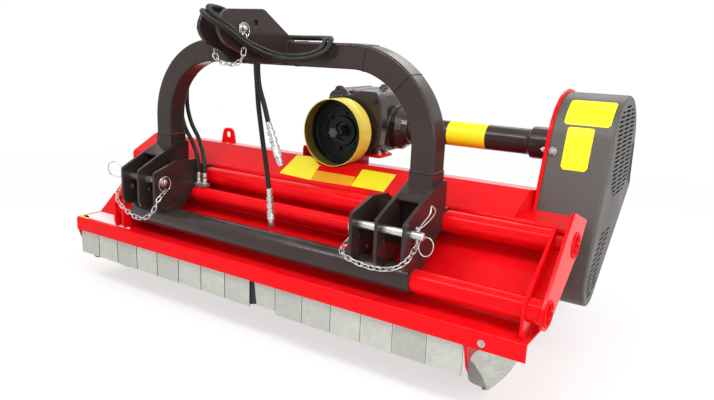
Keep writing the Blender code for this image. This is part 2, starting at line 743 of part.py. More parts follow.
def build_casing():
    x0 = SIDE_RIGHT_X + GAP
    x1 = x0 + BACKPLATE_T
    holes = [circle(DRIVE_Y, DRIVE_Z, 0.030, 16), circle(ROTOR_Y, ROTOR_Z, STUB_R + 0.012, 16)]
    node("belt_backplate", plate(case_outline(CASE_RIM), holes, "X", x0, x1), RED)
    node("belt_cover", cover_shell(x1 + GAP, COVER_X), CASE)

    # bearings: left one outside the side plate, right ones on the backplate
    seat = SIDE_LEFT_X - GAP
    r = bore(STUB_R + RUN, 16)
    left = turned([(seat, r), (seat, 0.062), (seat - 0.010, 0.062), (seat - 0.013, 0.045), (seat - 0.032, 0.042),
                   (seat - 0.032, r)], "X", ROTOR_Y, ROTOR_Z, 16)
    node("rotor_bearing_left", left, DARK)
    seat = x1 + GAP
    right = turned([(seat, r), (seat, 0.060), (seat + 0.010, 0.060), (seat + 0.013, 0.045),
                    (PULLEY_X - 0.008, 0.042), (PULLEY_X - 0.008, r)], "X", ROTOR_Y, ROTOR_Z, 16)
    r = bore(SHAFT_R + RUN, 16)
    drive = turned([(seat, r), (seat, 0.055), (seat + 0.010, 0.055), (seat + 0.013, 0.036),
                    (PULLEY_X - 0.008, 0.034), (PULLEY_X - 0.008, r)], "X", DRIVE_Y, DRIVE_Z, 16)
    node("rotor_bearing_right", right, DARK)
    node("drive_bearing", drive, DARK)

    # banded belt: a V rib in each groove under one common top band
    def level(up, low):
        return circle(DRIVE_Y, DRIVE_Z, up, 16) + circle(ROTOR_Y, ROTOR_Z, low, 16)
    root = level(UP_PULLEY_R - 0.0105, LOW_PULLEY_R - 0.0105)
    band = level(bore(UP_PULLEY_R + GAP, 16), bore(LOW_PULLEY_R + GAP, 16))
    back = level(bore(UP_PULLEY_R + GAP, 16) + BELT_TOP, bore(LOW_PULLEY_R + GAP, 16) + BELT_TOP)
    order = [min(range(32), key=lambda i: math.dist(root[i], p)) for p in hull(root)]
    lines = [[points[i] for i in order] for points in (root, band, back)]
    step = PULLEY_W / BELTS
    section = []
    for k in range(BELTS):
        mid = PULLEY_X + step * (k + 0.5)
        section += [(mid - 0.0062, 1), (mid - 0.0047, 0), (mid + 0.0047, 0), (mid + 0.0062, 1)]
    section = [(section[0][0], 2)] + section + [(section[-1][0], 2)]
    count = len(order)
    verts = [(x, *lines[height][i]) for x, height in section for i in range(count)]
    faces = []
    for a in range(len(section)):
        b = (a + 1) % len(section)
        for i in range(count):
            j = (i + 1) % count
            faces.append((a * count + i, a * count + j, b * count + j, b * count + i))
    node("drive_belt", (verts, faces), BLACK)


# rotor with its hammers
def hammer_shape():
    """Swinging hammer that hangs from the origin along -Z, fast on its row's rod along X."""
    half = HAMMER_W / 2
    eye = EYE_W / 2
    neck = -0.036
    tip = -HAMMER_LEN
    out = rounded([(-eye, -0.004), (-eye, neck), (-half, neck - 0.008), (-half + 0.002, tip, 0.005),
                   (half - 0.002, tip, 0.005), (half, neck - 0.008), (eye, neck), (eye, -0.004)], 90)
    slab = plate(out, [], "Y", -HAMMER_T / 2, HAMMER_T / 2)
    boss = rod("X", 0.0, 0.0, 0.0155, -eye, eye, 10)
    return union(slab, boss)


def build_rotor():
    inside_l = SIDE_LEFT_X + SIDE_T
    inside_r = SIDE_RIGHT_X - SIDE_T
    x0, x1 = inside_l + 0.016, inside_r - 0.016
    end_l = SIDE_LEFT_X - 0.036
    end_r = PULLEY_X + PULLEY_W + 0.006
    body = turned([(end_l, 0), (end_l, STUB_R), (x0, STUB_R), (x0, ROTOR_R), (x1, ROTOR_R), (x1, STUB_R),
                   (end_r, STUB_R), (end_r, 0)], "X", ROTOR_Y, ROTOR_Z, 16, 33.75)
    pitch = (x1 - x0) / HAMMERS
    hammer = hammer_shape()
    base = [(-0.021, ROTOR_R - 0.006), (0.021, ROTOR_R - 0.006)]
    top = arc(0, HAMMER_ORBIT, 0.0150, 0, 180, 4)
    outline = base + top
    eye = circle(0, HAMMER_ORBIT, bore(BOLT_R + RUN, 8), 8)
    lugs, rods = [], []
    rows = [[] for _ in range(ROWS)]
    for i in range(HAMMERS):
        x = x0 + pitch * (i + 0.5)
        row = i % ROWS
        angle = 45 + 90 * row
        turn = (Matrix.Translation((0, ROTOR_Y, ROTOR_Z)) @ Matrix.Rotation(math.radians(angle - 90), 4, "X"))
        for s in (-1, 1):
            lo = x + s * (EYE_W / 2 + 0.0006)
            hi = lo + s * LUG_T
            lugs.append(moved(plate(outline, [eye], "X", min(lo, hi), max(lo, hi)), turn))
        a = math.radians(angle)
        pin = (x, ROTOR_Y + HAMMER_ORBIT * math.cos(a), ROTOR_Z + HAMMER_ORBIT * math.sin(a))
        rows[row].append(shifted(hammer, *pin))
    axis = (0.0, ROTOR_Y, ROTOR_Z)
    node("rotor_tube", union(body, joined(lugs)), RED, origin=axis)
    for k, group in enumerate(rows):
        a = math.radians(45 + 90 * k)
        pin = (0.0, ROTOR_Y + HAMMER_ORBIT * math.cos(a), ROTOR_Z + HAMMER_ORBIT * math.sin(a))
        out = EYE_W / 2 + LUG_T + 0.008
        first = x0 + pitch * (k + 0.5) - out
        last = x0 + pitch * (HAMMERS - ROWS + k + 0.5) + out
        row_rod = rod("X", pin[1], pin[2], BOLT_R, first, last, 8)
        node("hammer_row_%d" % (k + 1), union(row_rod, joined(group)), STEEL, 0.6, origin=pin)

    r = bore(STUB_R + GAP, 16)
    node("lower_pulley", turned(grooves(LOW_PULLEY_R, r, PULLEY_X, PULLEY_W), "X", ROTOR_Y, ROTOR_Z, 16), GREY, origin=axis)
    drive = (0.0, DRIVE_Y, DRIVE_Z)
    shaft = rod("X", DRIVE_Y, DRIVE_Z, SHAFT_R, 0.1505, end_r, 16)
    node("drive_shaft", shaft, STEEL, 0.6, origin=drive)
    r = bore(SHAFT_R + GAP, 16)
    node("upper_pulley", turned(grooves(UP_PULLEY_R, r, PULLEY_X, PULLEY_W), "X", DRIVE_Y, DRIVE_Z, 16), GREY, origin=drive)

    # splined input stub
    teeth = 6
    out = []
    for k in range(teeth):
        a = 360 * k / teeth
        for da, r in ((-17, 0.0145), (-13, SHAFT_R), (13, SHAFT_R), (17, 0.0145)):
            t = math.radians(a + da)
            out.append((INPUT_X + r * math.cos(t), INPUT_Z + r * math.sin(t)))
    spline = plate(out, [], "Y", GUARD_FRONT_Y + 0.008, GUARD_BACK_Y - 0.010)
    tail = rod("Y", INPUT_X, INPUT_Z, SHAFT_R, GUARD_BACK_Y - 0.010, 0.011, 16)
    node("pto_shaft", union(spline, shifted(tail, 0, -0.002, 0)), STEEL, 0.6, origin=(INPUT_X, 0.0, INPUT_Z))


# flaps, hood, roller, skids
def flap(x0, x1, low, cut=0.0):
    """One steel strip; its lower left corner may be cut back."""
    front = FLAP_AXIS_Y - 0.006
    top = FLAP_AXIS_Z - 0.003
    outline = [(x0 + cut, low), (x1, low), (x1, top), (x0, top), (x0, low + 0.03 if cut else (low + top) / 2)]
    return plate(outline, [], "Y", front, front + FLAP_T)


def flap_bank(name, strips, x0, x1):
    """Strips on one hinge barrel, which turns on the flap rod."""
    barrel = rod("X", FLAP_AXIS_Y, FLAP_AXIS_Z, FLAP_CURL_R, x0, x1, 12)
    hole = rod("X", FLAP_AXIS_Y, FLAP_AXIS_Z, bore(FLAP_ROD_R + RUN, 12), x0 - 0.01, x1 + 0.01, 12)
    piece = combine(union(barrel, joined(strips)), hole, "DIFFERENCE")
    node(name, piece, GALV, 0.5, origin=(0.0, FLAP_AXIS_Y, FLAP_AXIS_Z))


def build_flaps():
    left = SIDE_LEFT_X + SIDE_T + 0.0007
    right = SIDE_RIGHT_X - SIDE_T - 0.0007
    slit = 0.0012
    pitch = (LEFT_BANK_END - left) / LEFT_FLAPS
    strips = [flap(left + pitch * i, left + pitch * (i + 1) - slit, FLAP_LOW, 0.014 if i == 0 else 0.0)
              for i in range(LEFT_FLAPS)]
    flap_bank("front_flaps_left", strips, left, LEFT_BANK_END - slit)
    low = FLAP_LOW + 0.012
    flap_bank("front_flap_middle", [flap(MID_FLAP[0], MID_FLAP[1] - slit, low, 0.024)], MID_FLAP[0], MID_FLAP[1] - slit)
    pitch = (right - RIGHT_BANK_START) / RIGHT_FLAPS
    strips = [flap(RIGHT_BANK_START + pitch * i, RIGHT_BANK_START + pitch * (i + 1) - slit, FLAP_LOW)
              for i in range(RIGHT_FLAPS)]
    flap_bank("front_flaps_right", strips, RIGHT_BANK_START, right - slit)
    node("flap_rod", rod("X", FLAP_AXIS_Y, FLAP_AXIS_Z, FLAP_ROD_R, SIDE_LEFT_X + 0.0005, SIDE_RIGHT_X - 0.0005, 12), ZINC)


def build_rear():
    inside_l = SIDE_LEFT_X + SIDE_T
    inside_r = SIDE_RIGHT_X - SIDE_T
    arm_t = 0.008
    arm = hull(circle(ROLLER_Y, ROLLER_R, 0.034, 16) + [(0.200, 0.060), (0.200, 0.150), (0.215, 0.165), (0.300, 0.165)])
    hole = circle(ROLLER_Y, ROLLER_R, bore(ROLLER_AXLE_R + RUN, 12), 12)
    for name, lo in (("roller_arm_left", inside_l + GAP), ("roller_arm_right", inside_r - GAP - arm_t)):
        node(name, plate(arm, [hole], "X", lo, lo + arm_t), RED)
    x0 = inside_l + GAP + arm_t + 0.006
    x1 = inside_r - GAP - arm_t - 0.006
    roll = turned([(x0 - 0.0135, 0), (x0 - 0.0135, ROLLER_AXLE_R), (x0, ROLLER_AXLE_R), (x0, ROLLER_R), (x1, ROLLER_R),
                   (x1, ROLLER_AXLE_R), (x1 + 0.0135, ROLLER_AXLE_R), (x1 + 0.0135, 0)], "X", ROLLER_Y, ROLLER_R, 24, 7.5)
    node("rear_roller", roll, DARK, origin=(0.0, ROLLER_Y, ROLLER_R))

    # hood over the rear outlet, hinged on a rod between the side plates
    h0 = inside_l + 0.018
    h1 = inside_r - 0.018
    knuckle_r = HOOD_ROD_R + 0.0045
    rear = ROLLER_Y + ROLLER_R
    line = path([(HOOD_Y + 0.0085, HOOD_Z - 0.0075), (ROLLER_Y, HOOD_Z - 0.063, 0.03), (rear, HOOD_Z - 0.150, 0.03),
                 (rear + 0.013, HOOD_Z - 0.205)])
    sheet = plate(line + offset(line, 0.003)[::-1], [], "X", h0, h1)
    barrel = rod("X", HOOD_Y, HOOD_Z, knuckle_r, h0, h1, 12)
    hole = rod("X", HOOD_Y, HOOD_Z, bore(HOOD_ROD_R + RUN, 12), h0 - 0.01, h1 + 0.01, 12)
    node("rear_hood", combine(union(sheet, barrel), hole, "DIFFERENCE"), RED, origin=(0.0, HOOD_Y, HOOD_Z))
    node("hood_rod", rod("X", HOOD_Y, HOOD_Z, HOOD_ROD_R, SIDE_LEFT_X + 0.0005, SIDE_RIGHT_X - 0.0005, 12), ZINC)


def build_skids():
    t = SKID_T
    # right: folded nose under the lip, then a flat sole
    x = SIDE_RIGHT_X + GAP
    rows = [  # left point, fold, right point of each section, from the lip down to the sole
        ((x + 0.022, -0.4655, 0.2040), (x + 0.024, -0.4660, 0.2042), (0.828, -0.4560, 0.2045)),
        ((x, -0.4640, 0.1680), (x + 0.004, -0.4660, 0.1660), (0.814, -0.4480, 0.1650)),
        ((x, -0.4430, 0.1150), (x + 0.018, -0.4560, 0.1120), (0.793, -0.4280, 0.1150)),
        ((x, -0.4000, 0.0620), (x + 0.032, -0.4100, 0.0560), (0.770, -0.3920, 0.0600)),
        ((x, -0.3500, 0.0260), (x + 0.038, -0.3520, 0.0200), (0.756, -0.3450, 0.0240)),
        ((x, -0.3000, 0.0000), (x + 0.040, -0.3000, 0.0000), (0.750, -0.3000, 0.0000)),
    ]
    verts, faces = [], []
    m = len(rows[0])
    for row in rows:
        verts += list(row)
    back = []
    for i, row in enumerate(rows):
        a = Vector(rows[max(0, i - 1)][1])
        b = Vector(rows[min(len(rows) - 1, i + 1)][1])
        d = (b - a).normalized()
        n = Vector((0, -d.z, d.y)).normalized()
        if n.y < 0:
            n = -n
        for k, p in enumerate(row):
            q = Vector(p) + n * t
            back.append(tuple(q))
    base = len(verts)
    verts += back
    last = len(rows) - 1
    for i in range(last):
        for k in range(m - 1):
            p = i * m + k
            faces.append((p, p + 1, p + m + 1, p + m))
            faces.append((base + p, base + p + m, base + p + m + 1, base + p + 1))
        for k in (0, m - 1):
            p = i * m + k
            faces.append((p, p + m, base + p + m, base + p))
    for k in range(m - 1):
        for i in (0, last):
            p = i * m + k
            faces.append((p, base + p, base + p + 1, p + 1))
    nose = (verts, faces)
    sole = block((x + 0.0002, SKID_FRONT_Y, 0.0), (SKID_SOLE_X, SKID_REAR_Y, t))
    flange = plate([(-0.280, t / 2), (0.250, t / 2), (0.250, 0.080), (0.220, 0.100), (-0.300, 0.100), (-0.330, 0.070)],
                   [], "X", x, x + t)
    node("skid_right", union(nose, sole, flange), GALV, 0.5)
    x = SIDE_LEFT_X + SIDE_T + GAP
    line = path([(-0.345, 0.060), (-0.285, 0.0, 0.05), (0.270, 0.0)], 15)
    runner = plate(line + offset(line, t)[::-1], [], "X", x, x + 0.045)
    flange = plate([(-0.270, t / 2), (0.150, t / 2), (0.150, 0.080), (-0.300, 0.080), (-0.325, 0.060)], [], "X", x, x + t)
    node("skid_left", union(runner, flange), GALV, 0.5)


# hitch frame
def arch_strip(points, half):
    line = points
    return offset(line, half) + offset(line, -half)[::-1]


def build_hitch():
    y0, y1 = ARCH_Y, ARCH_Y + LEG
    half = LEG / 2
    leg_x = PLATE_B + HITCH_PLATE / 1 + half - 0.0050
    xr, xl = HITCH_X + leg_x, HITCH_X - leg_x
    xs = {1: xr, -1: xl}
    cz = ARCH_TOP - half - ARCH_R
    centre_line = ([(xr, LEG_SEAM_Z), (xr, cz)] + arc(xr - ARCH_R, cz, ARCH_R, 0, 90, 9)[1:]
                   + arc(xl + ARCH_R, cz, ARCH_R, 90, 180, 9) + [(xl, LEG_SEAM_Z)])
    node("hitch_arch", plate(arch_strip(centre_line, half), [], "Y", y0, y1), DARK)

    # top link plates with their notch over the arch
    under = ARCH_TOP - LEG + 0.007
    crown = TOP_PIN_Z + LINK_CROWN
    nose = TOP_PIN_Y - LINK_NOSE
    link = rounded([
        (TOP_PIN_Y + 0.037, under, 0.010), (y0 - GAP, under), (y0 - GAP, ARCH_TOP + GAP),
        (y0 + 0.040, ARCH_TOP + GAP), (y0 + 0.003, ARCH_TOP + 0.022), (TOP_PIN_Y + LINK_BACK, crown, 0.020),
        (TOP_PIN_Y - 0.058, crown - 0.006, 0.020), (nose + 0.021, crown - 0.019, 0.020),
        (nose, TOP_PIN_Z - 0.004, 0.030), (nose + 0.033, TOP_PIN_Z - 0.042, 0.020),
        (TOP_PIN_Y, TOP_PIN_Z - LINK_CHIN, 0.010)])
    holes = [circle(TOP_PIN_Y, TOP_PIN_Z, bore(PIN_R + GAP, 12), 12), circle(LINK_HOLE_Y, LINK_HOLE_Z, 0.0115, 10)]
    at = HITCH_X + LINK_X - 0.006
    node("top_link_plate_right", plate(link, holes, "X", at, at + LINK_T), DARK)
    at = HITCH_X - LINK_X + 0.006
    node("top_link_plate_left", plate(link, holes, "X", at - LINK_T, at), DARK)

    # lower brackets
    pin_hole = circle(PIN_Y, PIN_Z, bore(PIN_R + GAP, 12), 12)
    spare = [circle(PIN_Y, PIN_Z - 0.037, 0.008, 8), circle(PIN_Y + 0.048, PIN_Z - 0.073, 0.008, 8)]
    for side, name in ((1, "lower_bracket_right"), (-1, "lower_bracket_left")):
        plates = []
        for at, high in ((PLATE_A - 0.005, False), (PLATE_B - 0.005, True), (PLATE_C - 0.005, True)):
            xa = HITCH_X + side * at
            xb = xa + side * HITCH_PLATE
            plates.append(plate(link_outline(high), [pin_hole] + spare, "X", min(xa, xb), max(xa, xb)))
        b_mid = HITCH_X + side * (PLATE_B - 0.005 + HITCH_PLATE / 2)
        c_mid = HITCH_X + side * (PLATE_C - 0.005 + HITCH_PLATE / 2)
        a_mid = HITCH_X + side * (PLATE_A - 0.005 + HITCH_PLATE / 2)
        lo, hi = min(b_mid, c_mid), max(b_mid, c_mid)
        stub = block((lo + 0.003, y0, LEG_LOW_Z), (hi - 0.003, y1 - 0.0005, 0.545))
        stub = union(stub, block((xs[side] - half, y0 + 0.0002, 0.53), (xs[side] + half, y1 - 0.0002, LEG_SEAM_Z - GAP)))
        lid = plate([(-0.392, 0.508), (y0 + 0.002, 0.5315), (y0 + 0.002, 0.5375), (-0.392, 0.514)], [], "X", lo, hi)
        back = plate([(-0.352, 0.372), (-0.344, 0.378), (-0.344, 0.489), (-0.352, 0.489)], [], "X",
                     min(a_mid, c_mid), max(a_mid, c_mid))
        node(name, union(joined(plates), stub, joined([lid, back])), DARK)

    # sleeves that slide on the guide tubes
    n = 20
    inner = bore(TUBE_R + RUN, n)
    reach = PLATE_C - 0.005 + HITCH_PLATE
    node("lower_sleeve", ring("X", LOW_TUBE_Y, LOW_TUBE_Z, SLEEVE_R, inner, HITCH_X - reach, HITCH_X + reach, n), DARK)
    a = PLATE_A - 0.005
    node("upper_sleeve_right", ring("X", TOP_TUBE_Y, TOP_TUBE_Z, SLEEVE_R, inner, HITCH_X + a, HITCH_X + reach, n), DARK)
    node("upper_sleeve_left", ring("X", TOP_TUBE_Y, TOP_TUBE_Z, SLEEVE_R, inner, HITCH_X - reach, HITCH_X - a, n), DARK)

    # cylinder between the inner plates, its rod anchored in the left guide end
    c0 = HITCH_X - a + GAP
    c1 = HITCH_X + a - GAP
    depth = SLIDE_MAX + 0.075
    barrel = turned([(c0, bore(ROD_R + RUN, 12)), (c0, CYL_R - 0.003), (c0 + 0.004, CYL_R), (c0 + 0.030, CYL_R),
                     (c0 + 0.031, CYL_R - 0.002), (c1 - 0.020, CYL_R - 0.002), (c1 - 0.019, CYL_R), (c1, CYL_R), (c1, 0),
                     (c0 + depth, 0), (c0 + depth, bore(ROD_R + RUN, 12))], "X", CYL_Y, CYL_Z, 12)
    pipe_z = CYL_Z - CYL_R - 0.0045
    pipe = sweep([(c0 + 0.020, CYL_Y, CYL_Z - CYL_R + 0.008), (c0 + 0.026, CYL_Y, pipe_z), (c1 - 0.020, CYL_Y, pipe_z),
                  (c1 - 0.014, CYL_Y, CYL_Z - CYL_R + 0.008)], 0.0045, 6)
    node("cylinder_barrel", union(barrel, pipe), RED)
    port = block((PORTS[0][0] - 0.012, CYL_Y - 0.011, CYL_Z + CYL_R + GAP), (PORTS[1][0] + 0.012, CYL_Y + 0.011, PORT_Z - 0.008))
    tops = [rod("Z", x, y, 0.0085, PORT_Z - 0.012, PORT_Z - GAP, 8) for x, y in PORTS]
    node("cylinder_port", union(port, joined(tops)), ZINC)
    tip = c0 + SLIDE_MAX + 0.035
    wall = END_L_IN_X
    shaft = turned([(wall - 0.018, 0), (wall - 0.018, ROD_R + 0.006), (wall - GAP, ROD_R + 0.006), (wall - GAP, ROD_R),
                    (tip, ROD_R), (tip, 0)], "X", CYL_Y, CYL_Z, 12)
    node("cylinder_rod", shaft, ZINC, 0.8)


PORT_Z = 0.4243
PORTS = ((-0.378, -0.300), (-0.350, -0.300))


def build_pins():
    at = {}
    for side, tag in ((1, "right"), (-1, "left")):
        inner = HITCH_X + side * (PLATE_A - 0.005 - GAP)
        outer = HITCH_X + side * (PLATE_C - 0.005 + HITCH_PLATE)
        at[tag] = link_pin("lower_link_pin_" + tag, inner, outer, side, PIN_Y, PIN_Z)
    inner = HITCH_X + LINK_X - 0.006 + LINK_T + GAP
    outer = HITCH_X - LINK_X + 0.006 - LINK_T
    at["top"] = link_pin("top_link_pin", inner, outer, -1, TOP_PIN_Y, TOP_PIN_Z)
    for tag, (knob, hole, side, y, z) in at.items():
        low = z - RING_DROP - RING_R
        points = [(knob, y, low)] + [(hole + dx, y + dy, z + dz) for dx, dy, dz in CHAINS[tag]] + [(hole, y, z - 0.023)]
        links = chain(points, CHAIN_PITCH, CHAIN_W, CHAIN_WIRE)
        split = []
        for k in range(12):
            a = 2 * math.pi * k / 12
            split.append((knob, y + RING_R * math.cos(a), z - RING_DROP + RING_R * math.sin(a)))
        split = sweep(split, 0.0010, 4, closed=True)
        first = joined(links[0::2] + [linch_loop(hole, y, z, side)])
        second = joined([split] + links[1::2])
        node("linch_pin_chain_" + tag, union(linch_shank(hole, y, z), first, second), ZINC, 0.8)


RING_R = 0.0135
RING_DROP = 0.0042


def link_pin(name, inner, outer, side, y, z):
    """Pin with a collar and a small knob inside, drilled outside for the linch pin."""
    hole = outer + side * 0.014
    prof = [(inner - side * 0.014, 0), (inner - side * 0.014, 0.006), (inner - side * 0.011, 0.0080),
            (inner - side * 0.0035, 0.0080), (inner - side * 0.0035, 0.0150), (inner, 0.0150), (inner, PIN_R),
            (outer + side * 0.030, PIN_R), (outer + side * 0.034, 0.007), (outer + side * 0.034, 0)]
    body = turned(prof, "X", y, z, 12)
    drill = rod("Z", hole, y, bore(0.0042 + GAP, 8), z - 0.03, z + 0.03, 8)
    node(name, combine(body, drill, "DIFFERENCE"), ZINC, 0.8)
    return inner - side * 0.0075, hole, side, y, z


def linch_shank(x, y, z):
    seat = z + PIN_R + GAP
    return turned([(z - 0.026, 0), (z - 0.026, 0.0025), (z - 0.021, 0.0042), (seat, 0.0042), (seat, 0.0075),
                   (seat + 0.010, 0.0075), (seat + 0.012, 0.005), (seat + 0.012, 0)], "Z", x, y, 8)


def linch_loop(x, y, z, side):
    """Spring loop of the linch pin, standing open over its head."""
    mid = z + PIN_R + 0.006
    w = 0.0095
    loop = [(x, y - 0.0055, mid), (x, y - w, mid + 0.002), (x + side * 0.002, y - w - 0.0015, mid + 0.018),
            (x + side * 0.005, y - 0.008, mid + 0.036), (x + side * 0.006, y, mid + 0.041),
            (x + side * 0.005, y + 0.008, mid + 0.036), (x + side * 0.002, y + w + 0.0015, mid + 0.018),
            (x, y + w, mid + 0.002), (x, y + 0.0055, mid)]
    return sweep(loop, 0.0016, 4)


CHAIN_PITCH = 0.0195
CHAIN_W = 0.0130
CHAIN_WIRE = 0.0028
# sag of each chain, from the linch pin's hole
CHAINS = {
    "right": ((-0.193, -0.035, -0.030), (-0.188, -0.066, -0.052), (-0.150, -0.074, -0.070), (-0.087, -0.074, -0.080),
              (-0.032, -0.070, -0.074), (-0.001, -0.050, -0.055)),
    "left": ((0.193, -0.035, -0.030), (0.188, -0.066, -0.052), (0.150, -0.074, -0.072), (0.087, -0.074, -0.083),
             (0.032, -0.070, -0.074), (0.001, -0.050, -0.055)),
    "top": ((0.106, -0.004, -0.045), (0.105, -0.008, -0.072), (0.078, -0.010, -0.090), (0.032, -0.010, -0.090),
            (0.001, -0.008, -0.072), (-0.002, -0.004, -0.045)),
}

# hose routes: from the ports up behind the left leg, round the top link plates and down between them
HOSE_A = ((-0.378, -0.300, 0.4243), (-0.378, -0.300, 0.446), (-0.379, -0.290, 0.490), (-0.395, -0.266, 0.515),
          (-0.428, -0.247, 0.540), (-0.478, -0.2435, 0.595), (-0.505, -0.243, 0.670), (-0.500, -0.243, 0.760),
          (-0.455, -0.243, 0.850), (-0.370, -0.250, 0.905), (-0.270, -0.268, 0.926), (-0.150, -0.276, 0.9145),
          (-0.020, -0.276, 0.9140), (0.060, -0.287, 0.9150), (0.106, -0.314, 0.9155), (0.118, -0.346, 0.9130),
          (0.116, -0.370, 0.8980), (0.085, -0.398, 0.8850), (0.055, -0.450, 0.8950), (0.050, -0.500, 0.9080),
          (0.052, -0.548, 0.9280), (0.051, -0.580, 0.9600), (0.037, -0.583, 0.9900), (0.014, -0.573, 0.9985),
          (-0.003, -0.550, 0.9940), (-0.008, -0.500, 0.9600), (-0.006, -0.440, 0.9100), (-0.006, -0.405, 0.8500),
          (-0.014, -0.392, 0.7800), (-0.0130, -0.380, 0.7050), (-0.0080, -0.3765, 0.6620), (0.004, -0.380, 0.6460))
HOSE_B = ((-0.350, -0.300, 0.4243), (-0.350, -0.300, 0.446), (-0.355, -0.286, 0.490), (-0.380, -0.255, 0.522),
          (-0.415, -0.232, 0.548), (-0.462, -0.228, 0.605), (-0.488, -0.228, 0.680), (-0.484, -0.228, 0.755),
          (-0.445, -0.228, 0.838), (-0.366, -0.234, 0.892), (-0.270, -0.252, 0.9125), (-0.150, -0.261, 0.9135),
          (-0.020, -0.261, 0.9140), (0.072, -0.272, 0.9140), (0.129, -0.308, 0.9150), (0.138, -0.346, 0.9130),
          (0.134, -0.374, 0.8900), (0.098, -0.410, 0.8735), (0.066, -0.452, 0.8780), (0.060, -0.502, 0.8905),
          (0.062, -0.554, 0.9120), (0.060, -0.596, 0.9500), (0.040, -0.602, 0.9980), (0.010, -0.592, 1.0090),
          (-0.018, -0.566, 1.0070), (-0.026, -0.502, 0.9700), (-0.026, -0.440, 0.9150), (-0.028, -0.400, 0.8500),
          (-0.034, -0.385, 0.7700), (-0.034, -0.380, 0.6700), (-0.032, -0.380, 0.5600), (-0.0254, -0.380, 0.4761),
          (-0.017, -0.380, 0.4580))
COUPLER_A = ((0.004, -0.380, 0.646), (0.071, -0.400, 0.557))
COUPLER_B = ((-0.017, -0.380, 0.458), (0.028, -0.380, 0.361))


def hose(name, points):
    """Free hose: a bevelled curve through its route."""
    finish(wire(name, catmull(points, 0.030), HOSE_R, 6), BLACK, 0.0, 0.45)


def coupler(ends):
    a, b = Vector(ends[0]), Vector(ends[1])
    length = (b - a).length
    prof = [(0.0004, 0), (0.0004, 0.0090), (0.022, 0.0090), (0.024, 0.0115), (0.034, 0.0115), (0.036, 0.0085), (0.046, 0.0085),
            (0.048, 0.0125), (length - 0.022, 0.0125), (length - 0.020, 0.0095), (length, 0.0085), (length, 0)]
    piece = turned(prof, "Z", 0.0, 0.0, 10)
    turn = Vector((0, 0, 1)).rotation_difference((b - a).normalized()).to_matrix().to_4x4()
    return moved(piece, Matrix.Translation(a) @ turn)


def build_hoses():
    hose("hydraulic_hose_a", HOSE_A)
    hose("hydraulic_hose_b", HOSE_B)
    node("hose_coupler_a", coupler(COUPLER_A), ZINC, 0.8)
    node("hose_coupler_b", coupler(COUPLER_B), ZINC, 0.8)


def clear():
    for ob in list(bpy.data.objects):
        bpy.data.objects.remove(ob)


def centre():
    """Stand the part on the ground with the middle of its box over the origin; hoses don't count."""
    loose = ("hydraulic_hose_a", "hydraulic_hose_b", "hose_coupler_a", "hose_coupler_b")
    pts = [v.co + ob.location for ob in PARTS if ob.type == "MESH" and ob.name not in loose for v in ob.data.vertices]
    lo = [min(p[i] for p in pts) for i in range(3)]
    hi = [max(p[i] for p in pts) for i in range(3)]
    move = Vector((-(lo[0] + hi[0]) / 2, -(lo[1] + hi[1]) / 2, -lo[2]))
    for ob in PARTS:
        ob.location += move
    print("moved by", [round(v, 5) for v in move], "box", [round(b - a, 4) for a, b in zip(lo, hi)])


def main():
    clear()
    build_deck()
    build_drive()
    build_casing()
    build_rotor()
    build_flaps()
    build_rear()
    build_skids()
    build_hitch()
    build_pins()
    build_hoses()
    centre()


main()
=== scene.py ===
import json
import math

import bmesh
import bpy
from mathutils import Matrix, Vector
from mathutils.bvhtree import BVHTree


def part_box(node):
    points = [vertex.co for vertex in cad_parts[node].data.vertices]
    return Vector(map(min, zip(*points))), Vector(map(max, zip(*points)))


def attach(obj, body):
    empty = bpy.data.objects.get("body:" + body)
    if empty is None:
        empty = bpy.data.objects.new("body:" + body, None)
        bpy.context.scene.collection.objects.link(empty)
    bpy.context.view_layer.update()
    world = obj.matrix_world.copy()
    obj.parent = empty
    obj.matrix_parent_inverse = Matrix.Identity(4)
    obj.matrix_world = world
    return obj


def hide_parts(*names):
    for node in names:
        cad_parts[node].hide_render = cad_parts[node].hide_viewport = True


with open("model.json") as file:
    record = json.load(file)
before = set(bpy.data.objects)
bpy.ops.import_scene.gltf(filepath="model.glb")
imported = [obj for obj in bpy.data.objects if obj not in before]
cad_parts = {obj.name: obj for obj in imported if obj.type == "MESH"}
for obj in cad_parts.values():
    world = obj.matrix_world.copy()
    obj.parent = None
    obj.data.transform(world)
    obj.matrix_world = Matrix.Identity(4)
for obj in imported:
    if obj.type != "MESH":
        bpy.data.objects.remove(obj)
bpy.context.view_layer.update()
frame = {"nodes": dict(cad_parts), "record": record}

bl_info = {
    "name": "Hammer Knife Mower",
    "version": (1, 0, 0),
    "blender": (4, 5, 0),
    "location": "View3D > Sidebar > Mower",
    "description": "Paint, fasteners, hoses, chains and a plain stage for a hammer knife mower",
    "category": "Object",
}

# The pieces below are laid out from the middle of the machine at the front of the deck. The packed
# model stands centred on the ground, so each finished piece is set over by this much.
SHIFT = Vector((0.002, 0.04383, 0.0))

# deck and guide tubes
DECK_Z = 0.460
RIDGE = (-0.078, 0.519)
TOP_FRONT_Y, TOP_REAR_Y = -0.197, 0.240
POCKET_X = (-0.032, 0.004, 0.074, 0.110)
POCKET_Y = (-0.117, -0.078, -0.030, -0.008)
POCKET_Z = 0.4995
FOLD_END = (0.7005, 0.7040)
SIDE_RIGHT_X = 0.705
SIDE_LEFT_X = -0.850
TUBE_R = 0.0302
TUBE_BORE = 0.025
SLEEVE_R = 0.038
LOW_TUBE = (-0.420, 0.3085)
TOP_TUBE = (-0.241, 0.432)
END_IN_X, END_OUT_X, END_T = 0.826, 0.868, 0.008
END_L_IN_X, END_L_OUT_X = -0.600, -0.642
WALL = 0.003
SEAT_GAP = 0.0003

